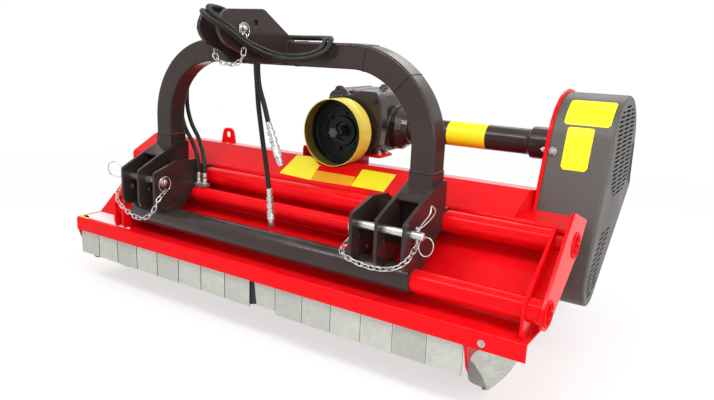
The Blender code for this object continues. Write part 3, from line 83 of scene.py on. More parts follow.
# hitch
HITCH_X = -0.0153
PLATE_A, PLATE_B, PLATE_C = 0.3773, 0.4543, 0.5350
PLATE_T = 0.010
LEG = 0.0707
LEG_CORNER = 0.0075
LEG_X = PLATE_B + PLATE_T + LEG / 2
REACH = PLATE_C + PLATE_T
ARCH_Y = -0.333
ARCH_TOP = 0.905
ARCH_R = 0.2354
LEG_SEAM_Z = 0.576
PIN_R = 0.011
PIN = (-0.450, 0.439)
TOP_PIN = (-0.527, 0.937)
LINK_OUT = 0.0403
CYL = (-0.300, 0.377)
CYL_R = 0.027
ROD_R = 0.0105
PORT_Z = 0.4243
PORTS = (-0.378, -0.350)

# drive line
DRIVE = (0.170, 0.617)
ROTOR = (-0.035, 0.275)
INPUT = (0.039, 0.613)
GUARD_R = 0.112
GUARD_FRONT_Y, GUARD_BACK_Y = -0.105, -0.030
SHAFT_R = 0.0175
MOUNT_Z = 0.5377
CASE_R, CASE_LOW_R = 0.163, 0.070
CASE_TAIL = (0.325, 0.500, 0.020)
COVER_IN_X, COVER_X = 0.7156, 0.882
VENT_H, VENT_PITCH, VENT_L, VENT_STEP = 0.006, 0.0125, 0.062, 0.074

# flaps and roller
FLAP_AXIS = (-0.455, 0.222)
FLAP_LOW = 0.105
FLAP_FRONT, FLAP_EASE = -0.006, 0.0008
LEFT_FLAPS, RIGHT_FLAPS = 8, 6
LEFT_BANK = (-0.8413, -0.0015)
MID_FLAP = (0.0125, 0.0985)
RIGHT_BANK = (0.0990, 0.6963)
ROLLER = (0.440, 0.075)

# hose routes, from the ports of the cylinder up behind the left leg, over the arch and down
HOSE_A = ((-0.378, -0.300, 0.4243), (-0.378, -0.300, 0.446), (-0.391, -0.290, 0.482),
          (-0.420, -0.270, 0.514), (-0.462, -0.250, 0.548), (-0.505, -0.2435, 0.600),
          (-0.521, -0.243, 0.670), (-0.511, -0.243, 0.760), (-0.458, -0.243, 0.850),
          (-0.370, -0.250, 0.905), (-0.270, -0.268, 0.926), (-0.150, -0.277, 0.9155),
          (-0.020, -0.277, 0.9155), (0.065, -0.283, 0.9155), (0.118, -0.300, 0.9160),
          (0.152, -0.322, 0.9155), (0.166, -0.338, 0.9090), (0.169, -0.351, 0.8960),
          (0.160, -0.362, 0.8810), (0.130, -0.374, 0.8690), (0.083, -0.392, 0.8650),
          (0.052, -0.422, 0.8700), (0.044, -0.468, 0.8830), (0.041, -0.518, 0.8990),
          (0.039, -0.558, 0.9190), (0.037, -0.594, 0.9410), (0.026, -0.624, 0.9600),
          (0.004, -0.628, 0.9780), (-0.016, -0.612, 0.9880), (-0.026, -0.584, 0.9890),
          (-0.022, -0.546, 0.9820), (-0.012, -0.496, 0.9560), (-0.008, -0.445, 0.9080),
          (-0.020, -0.410, 0.8600), (-0.029, -0.398, 0.8180), (-0.023, -0.397, 0.7710),
          (-0.0045, -0.397, 0.7205), (0.0102, -0.397, 0.6750), (0.0211, -0.397, 0.6470))
HOSE_B = ((-0.350, -0.300, 0.4243), (-0.350, -0.300, 0.446), (-0.365, -0.286, 0.486),
          (-0.400, -0.260, 0.524), (-0.444, -0.235, 0.560), (-0.488, -0.227, 0.612),
          (-0.506, -0.227, 0.680), (-0.496, -0.227, 0.760), (-0.448, -0.227, 0.840),
          (-0.366, -0.233, 0.892), (-0.270, -0.251, 0.9125), (-0.150, -0.260, 0.9155),
          (-0.020, -0.260, 0.9155), (0.070, -0.267, 0.9155), (0.130, -0.285, 0.9160),
          (0.170, -0.315, 0.9155), (0.185, -0.338, 0.9080), (0.189, -0.353, 0.8930),
          (0.176, -0.370, 0.8740), (0.136, -0.387, 0.8590), (0.084, -0.407, 0.8560),
          (0.057, -0.436, 0.8620), (0.052, -0.482, 0.8740), (0.050, -0.530, 0.8910),
          (0.048, -0.570, 0.9110), (0.044, -0.606, 0.9320), (0.031, -0.634, 0.9480),
          (0.006, -0.643, 0.9650), (-0.020, -0.631, 0.9760), (-0.037, -0.602, 0.9760),
          (-0.037, -0.555, 0.9670), (-0.033, -0.505, 0.9470), (-0.030, -0.445, 0.9060),
          (-0.037, -0.402, 0.8560), (-0.046, -0.385, 0.8100), (-0.048, -0.378, 0.7680),
          (-0.043, -0.378, 0.7160), (-0.0335, -0.378, 0.6570), (-0.0230, -0.378, 0.5970),
          (-0.0120, -0.378, 0.5430), (-0.0030, -0.378, 0.4900), (0.0047, -0.378, 0.4401))
COUPLER_A = ((0.0211, -0.397, 0.647), (0.060, -0.397, 0.5474))
COUPLER_B = ((0.0047, -0.378, 0.4401), (0.0132, -0.378, 0.3455))

# sag of each chain, measured from the hole of its linch pin
CHAINS = {
    "right": ((-0.192, -0.028, -0.050), (-0.186, -0.060, -0.064), (-0.150, -0.074, -0.076),
              (-0.087, -0.074, -0.084), (-0.032, -0.070, -0.076), (-0.001, -0.050, -0.055)),
    "left": ((0.191, -0.030, -0.052), (0.190, -0.045, -0.077), (0.184, -0.060, -0.098),
             (0.165, -0.072, -0.112), (0.135, -0.076, -0.114), (0.100, -0.076, -0.106),
             (0.060, -0.072, -0.092), (0.020, -0.062, -0.074), (0.000, -0.040, -0.050)),
    "top": ((0.106, -0.006, -0.050), (0.103, -0.010, -0.078), (0.078, -0.012, -0.096),
            (0.032, -0.012, -0.094), (0.001, -0.008, -0.074), (-0.002, -0.004, -0.045)),
}

MATS = {}
TREES = {}


# outlines and plain mesh helpers
def arc(u, v, r, a0, a1, n):
    """n + 1 points on a circle from angle a0 to a1, in degrees."""
    steps = [math.radians(a0 + (a1 - a0) * i / n) for i in range(n + 1)]
    return [(u + r * math.cos(a), v + r * math.sin(a)) for a in steps]


def circle(u, v, r, n):
    """n points round a full circle."""
    return arc(u, v, r, 0, 360 * (n - 1) / n, n - 1)


def fillet(before, at, after, r, step):
    """Points of a rounded corner between two straight stretches."""
    p = Vector(at)
    a, b = Vector(before) - p, Vector(after) - p
    la, lb = a.length, b.length
    if min(la, lb) < 1e-9:
        return [tuple(p)]
    a.normalize()
    b.normalize()
    half = math.acos(max(-1.0, min(1.0, a.dot(b)))) / 2
    if half > math.pi / 2 - 0.01 or half < 0.02:
        return [tuple(p)]
    back = min(r / math.tan(half), 0.48 * la, 0.48 * lb)
    r = back * math.tan(half)
    centre = p + (a + b).normalized() * (r / math.sin(half))
    start, end = p + a * back - centre, p + b * back - centre
    turn = math.atan2(start.x * end.y - start.y * end.x, start.dot(end))
    n = max(1, round(abs(math.degrees(turn)) / step))
    out = []
    for i in range(n + 1):
        c, s = math.cos(turn * i / n), math.sin(turn * i / n)
        out.append((centre.x + start.x * c - start.y * s, centre.y + start.x * s + start.y * c))
    return out


def eased(points, r, step=30):
    """Closed outline whose corners are all rounded by r, in steps of some degrees."""
    out = []
    for i, p in enumerate(points):
        out += fillet(points[i - 1], p, points[(i + 1) % len(points)], r, step)
    return out


def offset(line, d):
    """Closed outline moved by d to its left."""
    out = []
    n = len(line)
    for i, p in enumerate(line):
        one = (Vector(p) - Vector(line[i - 1])).normalized()
        two = (Vector(line[(i + 1) % n]) - Vector(p)).normalized()
        n1, n2 = Vector((-one.y, one.x)), Vector((-two.y, two.x))
        m = (n1 + n2).normalized()
        out.append(tuple(Vector(p) + m * (d / max(0.2, m.dot(n1)))))
    return out


def hull(points):
    """Outline that a taut band round the points would take."""
    pts = sorted(set((round(p[0], 7), round(p[1], 7)) for p in points))

    def half(seq):
        out = []
        for p in seq:
            while len(out) > 1:
                a, b = out[-2], out[-1]
                if (b[0] - a[0]) * (p[1] - a[1]) - (b[1] - a[1]) * (p[0] - a[0]) > 1e-9:
                    break
                out.pop()
            out.append(p)
        return out[:-1]
    return half(pts) + half(pts[::-1])


def catmull(points, step=None, count=None):
    """Smooth curve through the points, read about every step metres or count times on each stretch."""
    pts = [Vector(p) for p in points]
    out = []
    last = len(pts) - 1
    for i in range(last):
        p0, p1, p2, p3 = pts[max(0, i - 1)], pts[i], pts[i + 1], pts[min(last, i + 2)]
        n = count or max(1, round((p2 - p1).length / step))
        for k in range(n):
            t = k / n
            out.append(0.5 * ((2 * p1) + (p2 - p0) * t + (2 * p0 - 5 * p1 + 4 * p2 - p3) * t * t
                              + (3 * p1 - p0 - 3 * p2 + p3) * t ** 3))
    return out + [pts[-1]]


def place(axis, w, u, v):
    """Point at w along the axis and at u, v across it."""
    return {"X": (w, u, v), "Y": (u, w, v), "Z": (u, v, w)}[axis]


def plate(bm, outline, holes, axis, lo, hi):
    """Adds a flat plate: an outline with holes, filled and pulled from lo to hi along an axis."""
    edges = []
    for loop in [outline] + holes:
        verts = [bm.verts.new(place(axis, lo, *p[:2])) for p in loop]
        edges += [bm.edges.new((verts[i - 1], verts[i])) for i in range(len(verts))]
    made = bmesh.ops.triangle_fill(bm, use_beauty=True, use_dissolve=False, edges=edges)["geom"]
    faces = [f for f in made if isinstance(f, bmesh.types.BMFace)]
    pulled = bmesh.ops.extrude_face_region(bm, geom=faces)["geom"]
    verts = [v for v in pulled if isinstance(v, bmesh.types.BMVert)]
    bmesh.ops.translate(bm, verts=verts, vec=Vector(place(axis, hi - lo, 0.0, 0.0)))


def round_angles(n):
    """n equal steps of a full turn, in radians."""
    return [2 * math.pi * k / n for k in range(n)]


def lathe(bm, profile, axis, cu, cv, turns, mats=None):
    """Adds a turned body; a profile that starts off the axis is a closed section."""
    rings = []
    for along, r in profile:
        if r < 1e-9:
            rings.append([bm.verts.new(place(axis, along, cu, cv))])
            continue
        rings.append([bm.verts.new(place(axis, along, cu + r * math.cos(a), cv + r * math.sin(a)))
                      for a in round_angles(turns)])
    pairs = list(zip(rings, rings[1:]))
    if profile[0][1] > 1e-9:
        pairs.append((rings[-1], rings[0]))
    for i, (a, b) in enumerate(pairs):
        for k in range(turns):
            j = (k + 1) % turns
            ids = [a[k % len(a)], a[j % len(a)], b[j % len(b)], b[k % len(b)]]
            ids = list(dict.fromkeys(ids))
            if len(ids) > 2:
                bm.faces.new(ids).material_index = mats[i] if mats else 0


def skin(bm, rings):
    """Joins a row of like loops into a body with closed ends."""
    n = len(rings[0])
    for a, b in zip(rings, rings[1:]):
        for k in range(n):
            bm.faces.new((a[k], a[(k + 1) % n], b[(k + 1) % n], b[k]))
    bm.faces.new(rings[0][::-1])
    bm.faces.new(rings[-1])


def tube_along(bm, points, r, sides, closed=False):
    """Adds a round wire along points, with its section carried smoothly from one to the next."""
    pts = [Vector(p) for p in points]
    n = len(pts)
    side, rings = None, []
    for i, p in enumerate(pts):
        a = pts[i - 1] if closed or i else p
        b = pts[(i + 1) % n] if closed or i < n - 1 else p
        t = (b - a).normalized()
        if side is None:
            side = t.orthogonal().normalized()
        side = (side - t * side.dot(t)).normalized()
        up = t.cross(side)
        rings.append([bm.verts.new(p + (side * math.cos(a) + up * math.sin(a)) * r)
                      for a in round_angles(sides)])
    for i in range(n if closed else n - 1):
        a, b = rings[i], rings[(i + 1) % n]
        shift = 0
        if closed and i == n - 1:
            shift = min(range(sides), key=lambda s: (b[s].co - a[0].co).length)
        for k in range(sides):
            j = (k + 1) % sides
            bm.faces.new((a[k], a[j], b[(j + shift) % sides], b[(k + shift) % sides]))
    if not closed:
        bm.faces.new(rings[0][::-1])
        bm.faces.new(rings[-1])


def add_object(name, data):
    """New object of the scene, at the origin."""
    ob = bpy.data.objects.new(name, data)
    bpy.context.scene.collection.objects.link(ob)
    return ob


def add_mesh(name, bm, mats):
    """Object with the faces of a working mesh, which is used up by it."""
    mesh = bpy.data.meshes.new(name)
    bm.to_mesh(mesh)
    bm.free()
    for mat in mats:
        mesh.materials.append(MATS[mat])
    return add_object(name, mesh)


def piece(name, bm, mats, angle=40.0, weighted=False):
    """Turns a working mesh into a finished piece in its place, smooth but for its sharp edges."""
    bmesh.ops.remove_doubles(bm, verts=bm.verts, dist=1e-6)
    bmesh.ops.recalc_face_normals(bm, faces=bm.faces)
    bmesh.ops.translate(bm, verts=bm.verts, vec=SHIFT)
    ob = add_mesh(name, bm, mats)
    ob.data.shade_smooth()
    ob.data.set_sharp_from_angle(angle=math.radians(angle))
    return even_normals(ob) if weighted else ob


def settle(ob):
    """Replaces a piece's modifiers by the plain mesh that they make."""
    bpy.context.view_layer.update()
    graph = bpy.context.evaluated_depsgraph_get()
    mesh = bpy.data.meshes.new_from_object(ob.evaluated_get(graph), preserve_all_data_layers=True,
                                           depsgraph=graph)
    name = ob.name
    if ob.type == "MESH":
        old = ob.data
        ob.modifiers.clear()
        ob.data = mesh
        bpy.data.meshes.remove(old)
        mesh.name = name
        return ob
    bpy.data.objects.remove(ob)
    return add_object(name, mesh)


def even_normals(ob):
    """Lets the large faces of a piece set the shading of the small rounds beside them."""
    ob.modifiers.new("even normals", "WEIGHTED_NORMAL").keep_sharp = True
    return settle(ob)


def break_edges(ob, width, segments=2, **settings):
    """Rounds the sharp edges of a piece; settings are further values of the bevel."""
    bevel = ob.modifiers.new("broken edges", "BEVEL")
    bevel.width = width
    bevel.segments = segments
    for key, value in settings.items():
        setattr(bevel, key, value)
    return settle(ob)


def hand_over(ob, body, slot, *nodes):
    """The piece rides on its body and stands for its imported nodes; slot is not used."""
    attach(ob, body)
    if nodes:
        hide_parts(*nodes)
    return ob


def merged(node):
    """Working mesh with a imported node's faces joined."""
    bm = bmesh.new()
    bm.from_mesh(frame["nodes"][node].data)
    bmesh.ops.remove_doubles(bm, verts=bm.verts, dist=1e-5)
    return bm


def dressed(node, mat, width=0.0012, segments=2, angle=32.0, smooth=48.0, form=None):
    """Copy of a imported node, merged, with its edges broken by a small round and even shading."""
    bm = merged(node)
    for layer in list(bm.loops.layers.uv.values()):
        bm.loops.layers.uv.remove(layer)
    bmesh.ops.dissolve_limit(bm, angle_limit=math.radians(1.2), verts=bm.verts, edges=bm.edges,
                             delimit={"NORMAL"})
    if form:
        form(bm)
    ob = add_mesh(node + "_dressed", bm, [mat])
    ob.data.shade_smooth()
    if width:
        break_edges(ob, width, segments, limit_method="ANGLE", angle_limit=math.radians(angle),
                    miter_outer="MITER_ARC")
    ob.data.set_sharp_from_angle(angle=math.radians(smooth))
    return even_normals(ob)


def body_of(node):
    """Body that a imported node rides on."""
    return next(body for body, nodes in frame["record"]["behaviour"]["bodies"].items() if node in nodes)


def recoat(node, mat):
    """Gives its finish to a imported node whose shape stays."""
    for slot in frame["nodes"][node].material_slots:
        slot.material = MATS[mat]


# geometry node trees
def new_tree(name, sockets):
    """Empty geometry tree with a mesh or curve going in, a mesh coming out, and named inputs."""
    tree = bpy.data.node_groups.new(name, "GeometryNodeTree")
    tree.interface.new_socket("Geometry", in_out="INPUT", socket_type="NodeSocketGeometry")
    for label, kind, default in sockets:
        item = tree.interface.new_socket(label, in_out="INPUT", socket_type=kind)
        if default is not None:
            item.default_value = default
    tree.interface.new_socket("Geometry", in_out="OUTPUT", socket_type="NodeSocketGeometry")
    start = tree.nodes.new("NodeGroupInput")
    end = tree.nodes.new("NodeGroupOutput")
    TREES[name] = tree
    return tree, start.outputs, end.inputs[0]


def plug(tree, value, socket):
    """Links a socket to another one, or gives it a plain value."""
    if isinstance(value, bpy.types.NodeSocket):
        tree.links.new(value, socket)
    else:
        socket.default_value = value


def add(tree, kind, settings=None, **values):
    """Adds a node; each value is a socket or a plain value, named like the node's input."""
    node = tree.nodes.new(kind)
    for key, value in (settings or {}).items():
        setattr(node, key, value)
    for key, value in values.items():
        label = key.replace("_", " ")
        live = [s for s in node.inputs if s.name == label and s.enabled]
        plug(tree, value, live[0] if live else node.inputs[label])
    return node


def maths(tree, operation, a, b=None):
    """Result of a sum on sockets or plain values."""
    node = tree.nodes.new("ShaderNodeMath")
    node.operation = operation
    plug(tree, a, node.inputs[0])
    if b is not None:
        plug(tree, b, node.inputs[1])
    return node.outputs[0]


def times(tree, a, b):
    return maths(tree, "MULTIPLY", a, b)


def plus(tree, a, b):
    return maths(tree, "ADD", a, b)


def run_tree(ob, name, **inputs):
    """Runs a tree on a piece with the given inputs, and keeps the plain mesh that it makes."""
    tree = TREES[name]
    mod = ob.modifiers.new(name, "NODES")
    mod.node_group = tree
    ids = {s.name: s.identifier for s in tree.interface.items_tree if s.in_out == "INPUT"}
    for key, value in inputs.items():
        mod[ids[key.replace("_", " ")]] = value
    return settle(ob)


def close_tree(tree, src, out, geometry, **more):
    """Ends a tree: its instances are made real and take the material."""
    real = add(tree, "GeometryNodeRealizeInstances", Geometry=geometry)
    done = add(tree, "GeometryNodeSetMaterial", Geometry=real.outputs[0], Material=src["Material"], **more)
    tree.links.new(done.outputs[0], out)


NUMBER, WHOLE, FINISH = "NodeSocketFloat", "NodeSocketInt", "NodeSocketMaterial"


def bolt_tree():
    """Hexagon heads with washers, on points that say which way they face and how large they are."""
    tree, src, out = new_tree("hex bolts", [
        ("Across", NUMBER, 0.013), ("Head", NUMBER, 0.008), ("Washer", NUMBER, 0.012),
        ("Washer Thick", NUMBER, 0.002), ("Shank", NUMBER, 0.006), ("Material", FINISH, None)])
    across, head, thick, shank = src["Across"], src["Head"], src["Washer Thick"], src["Shank"]
    crown_high = 0.0012
    top = plus(tree, plus(tree, head, thick), crown_high / 3)
    group = tree.nodes.new("GeometryNodeJoinGeometry")
    for sides, radius, depth, height in (
            (6, times(tree, across, 0.577), head, plus(tree, times(tree, head, 0.5), thick)),
            (20, times(tree, across, 0.47), crown_high, top),
            (14, times(tree, across, 0.29), shank, plus(tree, top, times(tree, shank, 0.3))),
            (24, src["Washer"], thick, times(tree, thick, 0.5))):
        disc = add(tree, "GeometryNodeMeshCylinder", Vertices=sides, Radius=radius, Depth=depth)
        lift = add(tree, "ShaderNodeCombineXYZ", Z=height)
        part = add(tree, "GeometryNodeTransform", Geometry=disc.outputs["Mesh"], Translation=lift.outputs[0])
        tree.links.new(part.outputs[0], group.inputs[0])
    facing = add(tree, "GeometryNodeInputNamedAttribute", {"data_type": "FLOAT_VECTOR"}, Name="facing")
    turn = add(tree, "FunctionNodeAlignRotationToVector", {"axis": "Z"}, Vector=facing.outputs["Attribute"])
    size = add(tree, "GeometryNodeInputNamedAttribute", {"data_type": "FLOAT"}, Name="size")
    each = add(tree, "GeometryNodeInstanceOnPoints", Points=src["Geometry"], Instance=group.outputs[0],
               Rotation=turn.outputs[0], Scale=size.outputs["Attribute"])
    close_tree(tree, src, out, each.outputs[0])


def weld_tree():
    """Rippled bead along a curve."""
    tree, src, out = new_tree("weld bead", [
        ("Radius", NUMBER, 0.003), ("Ripple", NUMBER, 0.005), ("Step", NUMBER, 0.0016),
        ("Material", FINISH, None)])
    curve = add(tree, "GeometryNodeResampleCurve", {"mode": "LENGTH"}, Curve=src["Geometry"],
                Length=src["Step"])
    along = tree.nodes.new("GeometryNodeSplineParameter")
    turns = times(tree, along.outputs["Length"], 6.2832)
    wave = maths(tree, "SINE", maths(tree, "DIVIDE", turns, src["Ripple"]))
    rough = add(tree, "ShaderNodeTexNoise", {"noise_dimensions": "3D"}, Scale=90.0, Detail=1.0)
    swell = plus(tree, times(tree, wave, 0.14), times(tree, rough.outputs[0], 0.35))
    width = times(tree, src["Radius"], plus(tree, swell, 0.82))
    ring = add(tree, "GeometryNodeCurvePrimitiveCircle", Resolution=8, Radius=1.0)
    bead = add(tree, "GeometryNodeCurveToMesh", Curve=curve.outputs[0], Profile_Curve=ring.outputs[0],
               Scale=width, Fill_Caps=True)
    soft = add(tree, "GeometryNodeSetShadeSmooth", Geometry=bead.outputs[0])
    close_tree(tree, src, out, soft.outputs[0])


def chain_tree():
    """Chain links along a curve, each a quarter turn from the last."""
    tree, src, out = new_tree("chain links", [
        ("Pitch", NUMBER, 0.0195), ("Link Length", NUMBER, 0.0235), ("Link Width", NUMBER, 0.0130),
        ("Wire", NUMBER, 0.0028), ("Material", FINISH, None)])
    oval = add(tree, "GeometryNodeCurvePrimitiveQuadrilateral", {"mode": "RECTANGLE"},
               Width=src["Link Length"], Height=src["Link Width"])
    oval = add(tree, "GeometryNodeFilletCurve", {"mode": "POLY"}, Curve=oval.outputs[0], Count=5,
               Radius=times(tree, src["Link Width"], 0.499))
    ring = add(tree, "GeometryNodeCurvePrimitiveCircle", Resolution=8, Radius=times(tree, src["Wire"], 0.5))
    link = add(tree, "GeometryNodeCurveToMesh", Curve=oval.outputs[0], Profile_Curve=ring.outputs[0])
    link = add(tree, "GeometryNodeSetShadeSmooth", Geometry=link.outputs[0])
    spots = add(tree, "GeometryNodeCurveToPoints", {"mode": "LENGTH"}, Curve=src["Geometry"],
                Length=src["Pitch"])
    turn = add(tree, "FunctionNodeAlignRotationToVector", {"axis": "X"}, Vector=spots.outputs["Tangent"])
    index = tree.nodes.new("GeometryNodeInputIndex")
    odd = times(tree, maths(tree, "MODULO", index.outputs[0], 2.0), math.pi / 2)
    roll = add(tree, "FunctionNodeAxisAngleToRotation", Axis=(1.0, 0.0, 0.0), Angle=plus(tree, odd, 0.5))
    turn = add(tree, "FunctionNodeRotateRotation", {"rotation_space": "LOCAL"}, Rotation=turn.outputs[0],
               Rotate_By=roll.outputs[0])
    each = add(tree, "GeometryNodeInstanceOnPoints", Points=spots.outputs[0], Instance=link.outputs[0],
               Rotation=turn.outputs[0])
    close_tree(tree, src, out, each.outputs[0])


def flap_tree():
    """Row of like strips, each with its own tone, whose cut ends keep their black: painted shade for the
    slits between strips.
    """
    tree, src, out = new_tree("flap strips", [
        ("Count", WHOLE, 8), ("Pitch", NUMBER, 0.105), ("Seed", WHOLE, 4), ("Material", FINISH, None)])
    step = add(tree, "ShaderNodeCombineXYZ", X=src["Pitch"])
    row = add(tree, "GeometryNodeMeshLine", {"mode": "OFFSET"}, Count=src["Count"], Offset=step.outputs[0])
    strip = add(tree, "GeometryNodeGeometryToInstance", Geometry=src["Geometry"])
    each = add(tree, "GeometryNodeInstanceOnPoints", Points=row.outputs[0], Instance=strip.outputs[0])
    tone = add(tree, "FunctionNodeRandomValue", {"data_type": "FLOAT"}, Seed=src["Seed"])
    tone = [s for s in tone.outputs if s.enabled][0]
    kept = add(tree, "GeometryNodeStoreNamedAttribute", {"data_type": "FLOAT", "domain": "INSTANCE"},
               Geometry=each.outputs[0], Name="tone", Value=tone)
    index = tree.nodes.new("GeometryNodeInputMaterialIndex")
    blade = maths(tree, "LESS_THAN", index.outputs[0], 0.5)
    close_tree(tree, src, out, kept.outputs[0], Selection=blade)


def bolts(name, body, slot, mat, spots, across=0.013, head=0.008, washer=0.012, thick=0.002, shank=0.004):
    """Hexagon bolts of one body: spots are (point, facing) or (point, facing, size)."""
    mesh = bpy.data.meshes.new(name)
    mesh.from_pydata([Vector(s[0]) + SHIFT for s in spots], [], [])
    facing = mesh.attributes.new("facing", "FLOAT_VECTOR", "POINT")
    facing.data.foreach_set("vector", [c for s in spots for c in Vector(s[1]).normalized()])
    size = mesh.attributes.new("size", "FLOAT", "POINT")
    size.data.foreach_set("value", [s[2] if len(s) > 2 else 1.0 for s in spots])
    ob = run_tree(add_object(name, mesh), "hex bolts", Across=across, Head=head, Washer=washer,
                  Washer_Thick=thick, Shank=shank, Material=MATS[mat])
    ob.data.set_sharp_from_angle(angle=math.radians(30))
    return hand_over(ob, body, slot)


def line_object(name, lines):
    """Curve object whose splines run through the lists of points."""
    curve = bpy.data.curves.new(name, "CURVE")
    curve.dimensions = "3D"
    for points in lines:
        spline = curve.splines.new("POLY")
        spline.points.add(len(points) - 1)
        for spot, p in zip(spline.points, points):
            spot.co = (*(Vector(p) + SHIFT), 1.0)
    return add_object(name, curve)


def welds(name, body, slot, mat, lines, radius):
    """Weld beads of one body along the lists of points."""
    ob = run_tree(line_object(name, lines), "weld bead", Radius=radius, Ripple=radius * 1.7,
                  Material=MATS[mat])
    return hand_over(ob, body, slot)


def seam(axis, at, cu, cv, r, n, a0, a1):
    """Points of a round seam about an axis."""
    return [place(axis, at, *p) for p in arc(cu, cv, r, a0, a1, n)]


# shader groups
def shader_group(name, inputs, outputs):
    """Empty shader group with named inputs and outputs of kind V, F or C."""
    tree = bpy.data.node_groups.new(name, "ShaderNodeTree")
    kinds = {"V": "NodeSocketVector", "F": "NodeSocketFloat", "C": "NodeSocketColor"}
    for label, kind, default in inputs:
        item = tree.interface.new_socket(label, in_out="INPUT", socket_type=kinds[kind])
        if default is not None:
            item.default_value = default
    for label, kind in outputs:
        tree.interface.new_socket(label, in_out="OUTPUT", socket_type=kinds[kind])
    TREES[name] = tree
    return tree, tree.nodes.new("NodeGroupInput").outputs, tree.nodes.new("NodeGroupOutput").inputs


def noise_node(tree, where, scale, detail=2.0, rough=0.5):
    return add(tree, "ShaderNodeTexNoise", {"noise_dimensions": "3D"}, Vector=where, Scale=scale,
               Detail=detail, Roughness=rough)


def noise(tree, where, scale, detail=2.0, rough=0.5):
    """Value of a cloudy pattern."""
    return noise_node(tree, where, scale, detail, rough).outputs[0]


def ramp(tree, value, lo, hi, to_lo=0.0, to_hi=1.0):
    """Stretches a value from lo and hi to to_lo and to_hi, and keeps it between them."""
    node = tree.nodes.new("ShaderNodeMapRange")
    node.clamp = True
    for key, v in (("Value", value), ("From Min", lo), ("From Max", hi), ("To Min", to_lo),
                   ("To Max", to_hi)):
        plug(tree, v, node.inputs[key])
    return node.outputs[0]


def mixed(tree, factor, a, b):
    """Colour mix of a and b."""
    node = tree.nodes.new("ShaderNodeMix")
    node.data_type = "RGBA"
    for socket, v in ((node.inputs[0], factor), (node.inputs[6], a), (node.inputs[7], b)):
        plug(tree, v, socket)
    return node.outputs[2]


def spray_group():
    """Ripple and clouds of sprayed paint."""
    tree, src, out = shader_group(
        "sprayed paint",
        [("Place", "V", None), ("Ripple Scale", "F", 260.0), ("Cloud Scale", "F", 5.0),
         ("Speck Scale", "F", 900.0)],
        [("Height", "F"), ("Cloud", "F")])
    ripple = noise(tree, src["Place"], src["Ripple Scale"], 2.0, 0.45)
    speck = noise(tree, src["Place"], src["Speck Scale"], 1.0, 0.4)
    tree.links.new(plus(tree, ripple, times(tree, speck, 0.25)), out["Height"])
    tree.links.new(noise(tree, src["Place"], src["Cloud Scale"], 3.0, 0.55), out["Cloud"])


def dust_group():
    """Patches of dust on what faces up."""
    tree, src, out = shader_group(
        "settled dust", [("Place", "V", None), ("Scale", "F", 26.0), ("Amount", "F", 0.2)], [("Mask", "F")])
    normal = tree.nodes.new("ShaderNodeNewGeometry").outputs["Normal"]
    up = add(tree, "ShaderNodeSeparateXYZ", Vector=normal)
    lying = ramp(tree, up.outputs[2], 0.35, 0.98)
    patch = ramp(tree, noise(tree, src["Place"], src["Scale"], 5.0, 0.62), 0.44, 0.72)
    tree.links.new(times(tree, times(tree, lying, patch), src["Amount"]), out["Mask"])


def scuff_group():
    """Fine drawn-out scuffs that come in patches."""
    tree, src, out = shader_group(
        "fine scuffs", [("Place", "V", None), ("Scale", "F", 14.0), ("Amount", "F", 0.3)], [("Mask", "F")])
    stretch = add(tree, "ShaderNodeMapping", Vector=src["Place"], Rotation=(0.4, 0.7, 0.3),
                  Scale=(1.0, 22.0, 3.0))
    lines = ramp(tree, noise(tree, stretch.outputs[0], src["Scale"], 6.0, 0.7), 0.64, 0.70)
    where = ramp(tree, noise(tree, src["Place"], 7.0, 3.0, 0.5), 0.48, 0.66)
    tree.links.new(times(tree, times(tree, lines, where), src["Amount"]), out["Mask"])


def spangle_group():
    """Crystals of hot-dip zinc, as tone and as a faint height."""
    tree, src, out = shader_group(
        "zinc spangle", [("Place", "V", None), ("Scale", "F", 60.0), ("Contrast", "F", 0.5)],
        [("Tone", "F"), ("Height", "F")])
    bend = mixed(tree, 0.06, src["Place"], noise_node(tree, src["Place"], 40.0).outputs["Color"])
    cell = add(tree, "ShaderNodeTexVoronoi", {"feature": "F1"}, Vector=bend, Scale=src["Scale"])
    grey = tree.nodes.new("ShaderNodeSeparateXYZ")
    tree.links.new(cell.outputs["Color"], grey.inputs[0])
    cloud = noise(tree, src["Place"], 9.0, 4.0, 0.6)
    low = maths(tree, "SUBTRACT", 1.0, src["Contrast"])
    high = plus(tree, times(tree, grey.outputs[0], 0.5), times(tree, cloud, 0.6))
    tree.links.new(plus(tree, low, times(tree, src["Contrast"], high)), out["Tone"])
    tree.links.new(plus(tree, grey.outputs[1], noise(tree, src["Place"], 400.0, 2.0)), out["Height"])


def cast_group():
    """Grain of a sand casting or of worn metal."""
    tree, src, out = shader_group(
        "cast grain", [("Place", "V", None), ("Scale", "F", 330.0)], [("Height", "F"), ("Mask", "F")])
    coarse = noise(tree, src["Place"], src["Scale"], 4.0, 0.65)
    wave = noise(tree, src["Place"], 38.0, 3.0, 0.5)
    tree.links.new(plus(tree, coarse, times(tree, wave, 1.3)), out["Height"])
    tree.links.new(ramp(tree, coarse, 0.35, 0.65), out["Mask"])


def new_material(name, metallic=0.0, coat=0.0, coat_rough=0.1, ior=1.5):
    """Empty material with its principled shader, output and object coordinates."""
    mat = bpy.data.materials.new(name)
    mat.use_nodes = True
    tree = mat.node_tree
    shader = tree.nodes["Principled BSDF"]
    shader.inputs["Metallic"].default_value = metallic
    shader.inputs["Coat Weight"].default_value = coat
    shader.inputs["Coat Roughness"].default_value = coat_rough
    shader.inputs["IOR"].default_value = ior
    where = tree.nodes.new("ShaderNodeTexCoord").outputs["Object"]
    MATS[name] = mat
    return tree, shader, where


def use_group(tree, name, where, **values):
    """Places a shared shader group and returns its outputs."""
    node = tree.nodes.new("ShaderNodeGroup")
    node.node_tree = TREES[name]
    tree.links.new(where, node.inputs["Place"])
    for key, value in values.items():
        node.inputs[key.replace("_", " ")].default_value = value
    return node.outputs


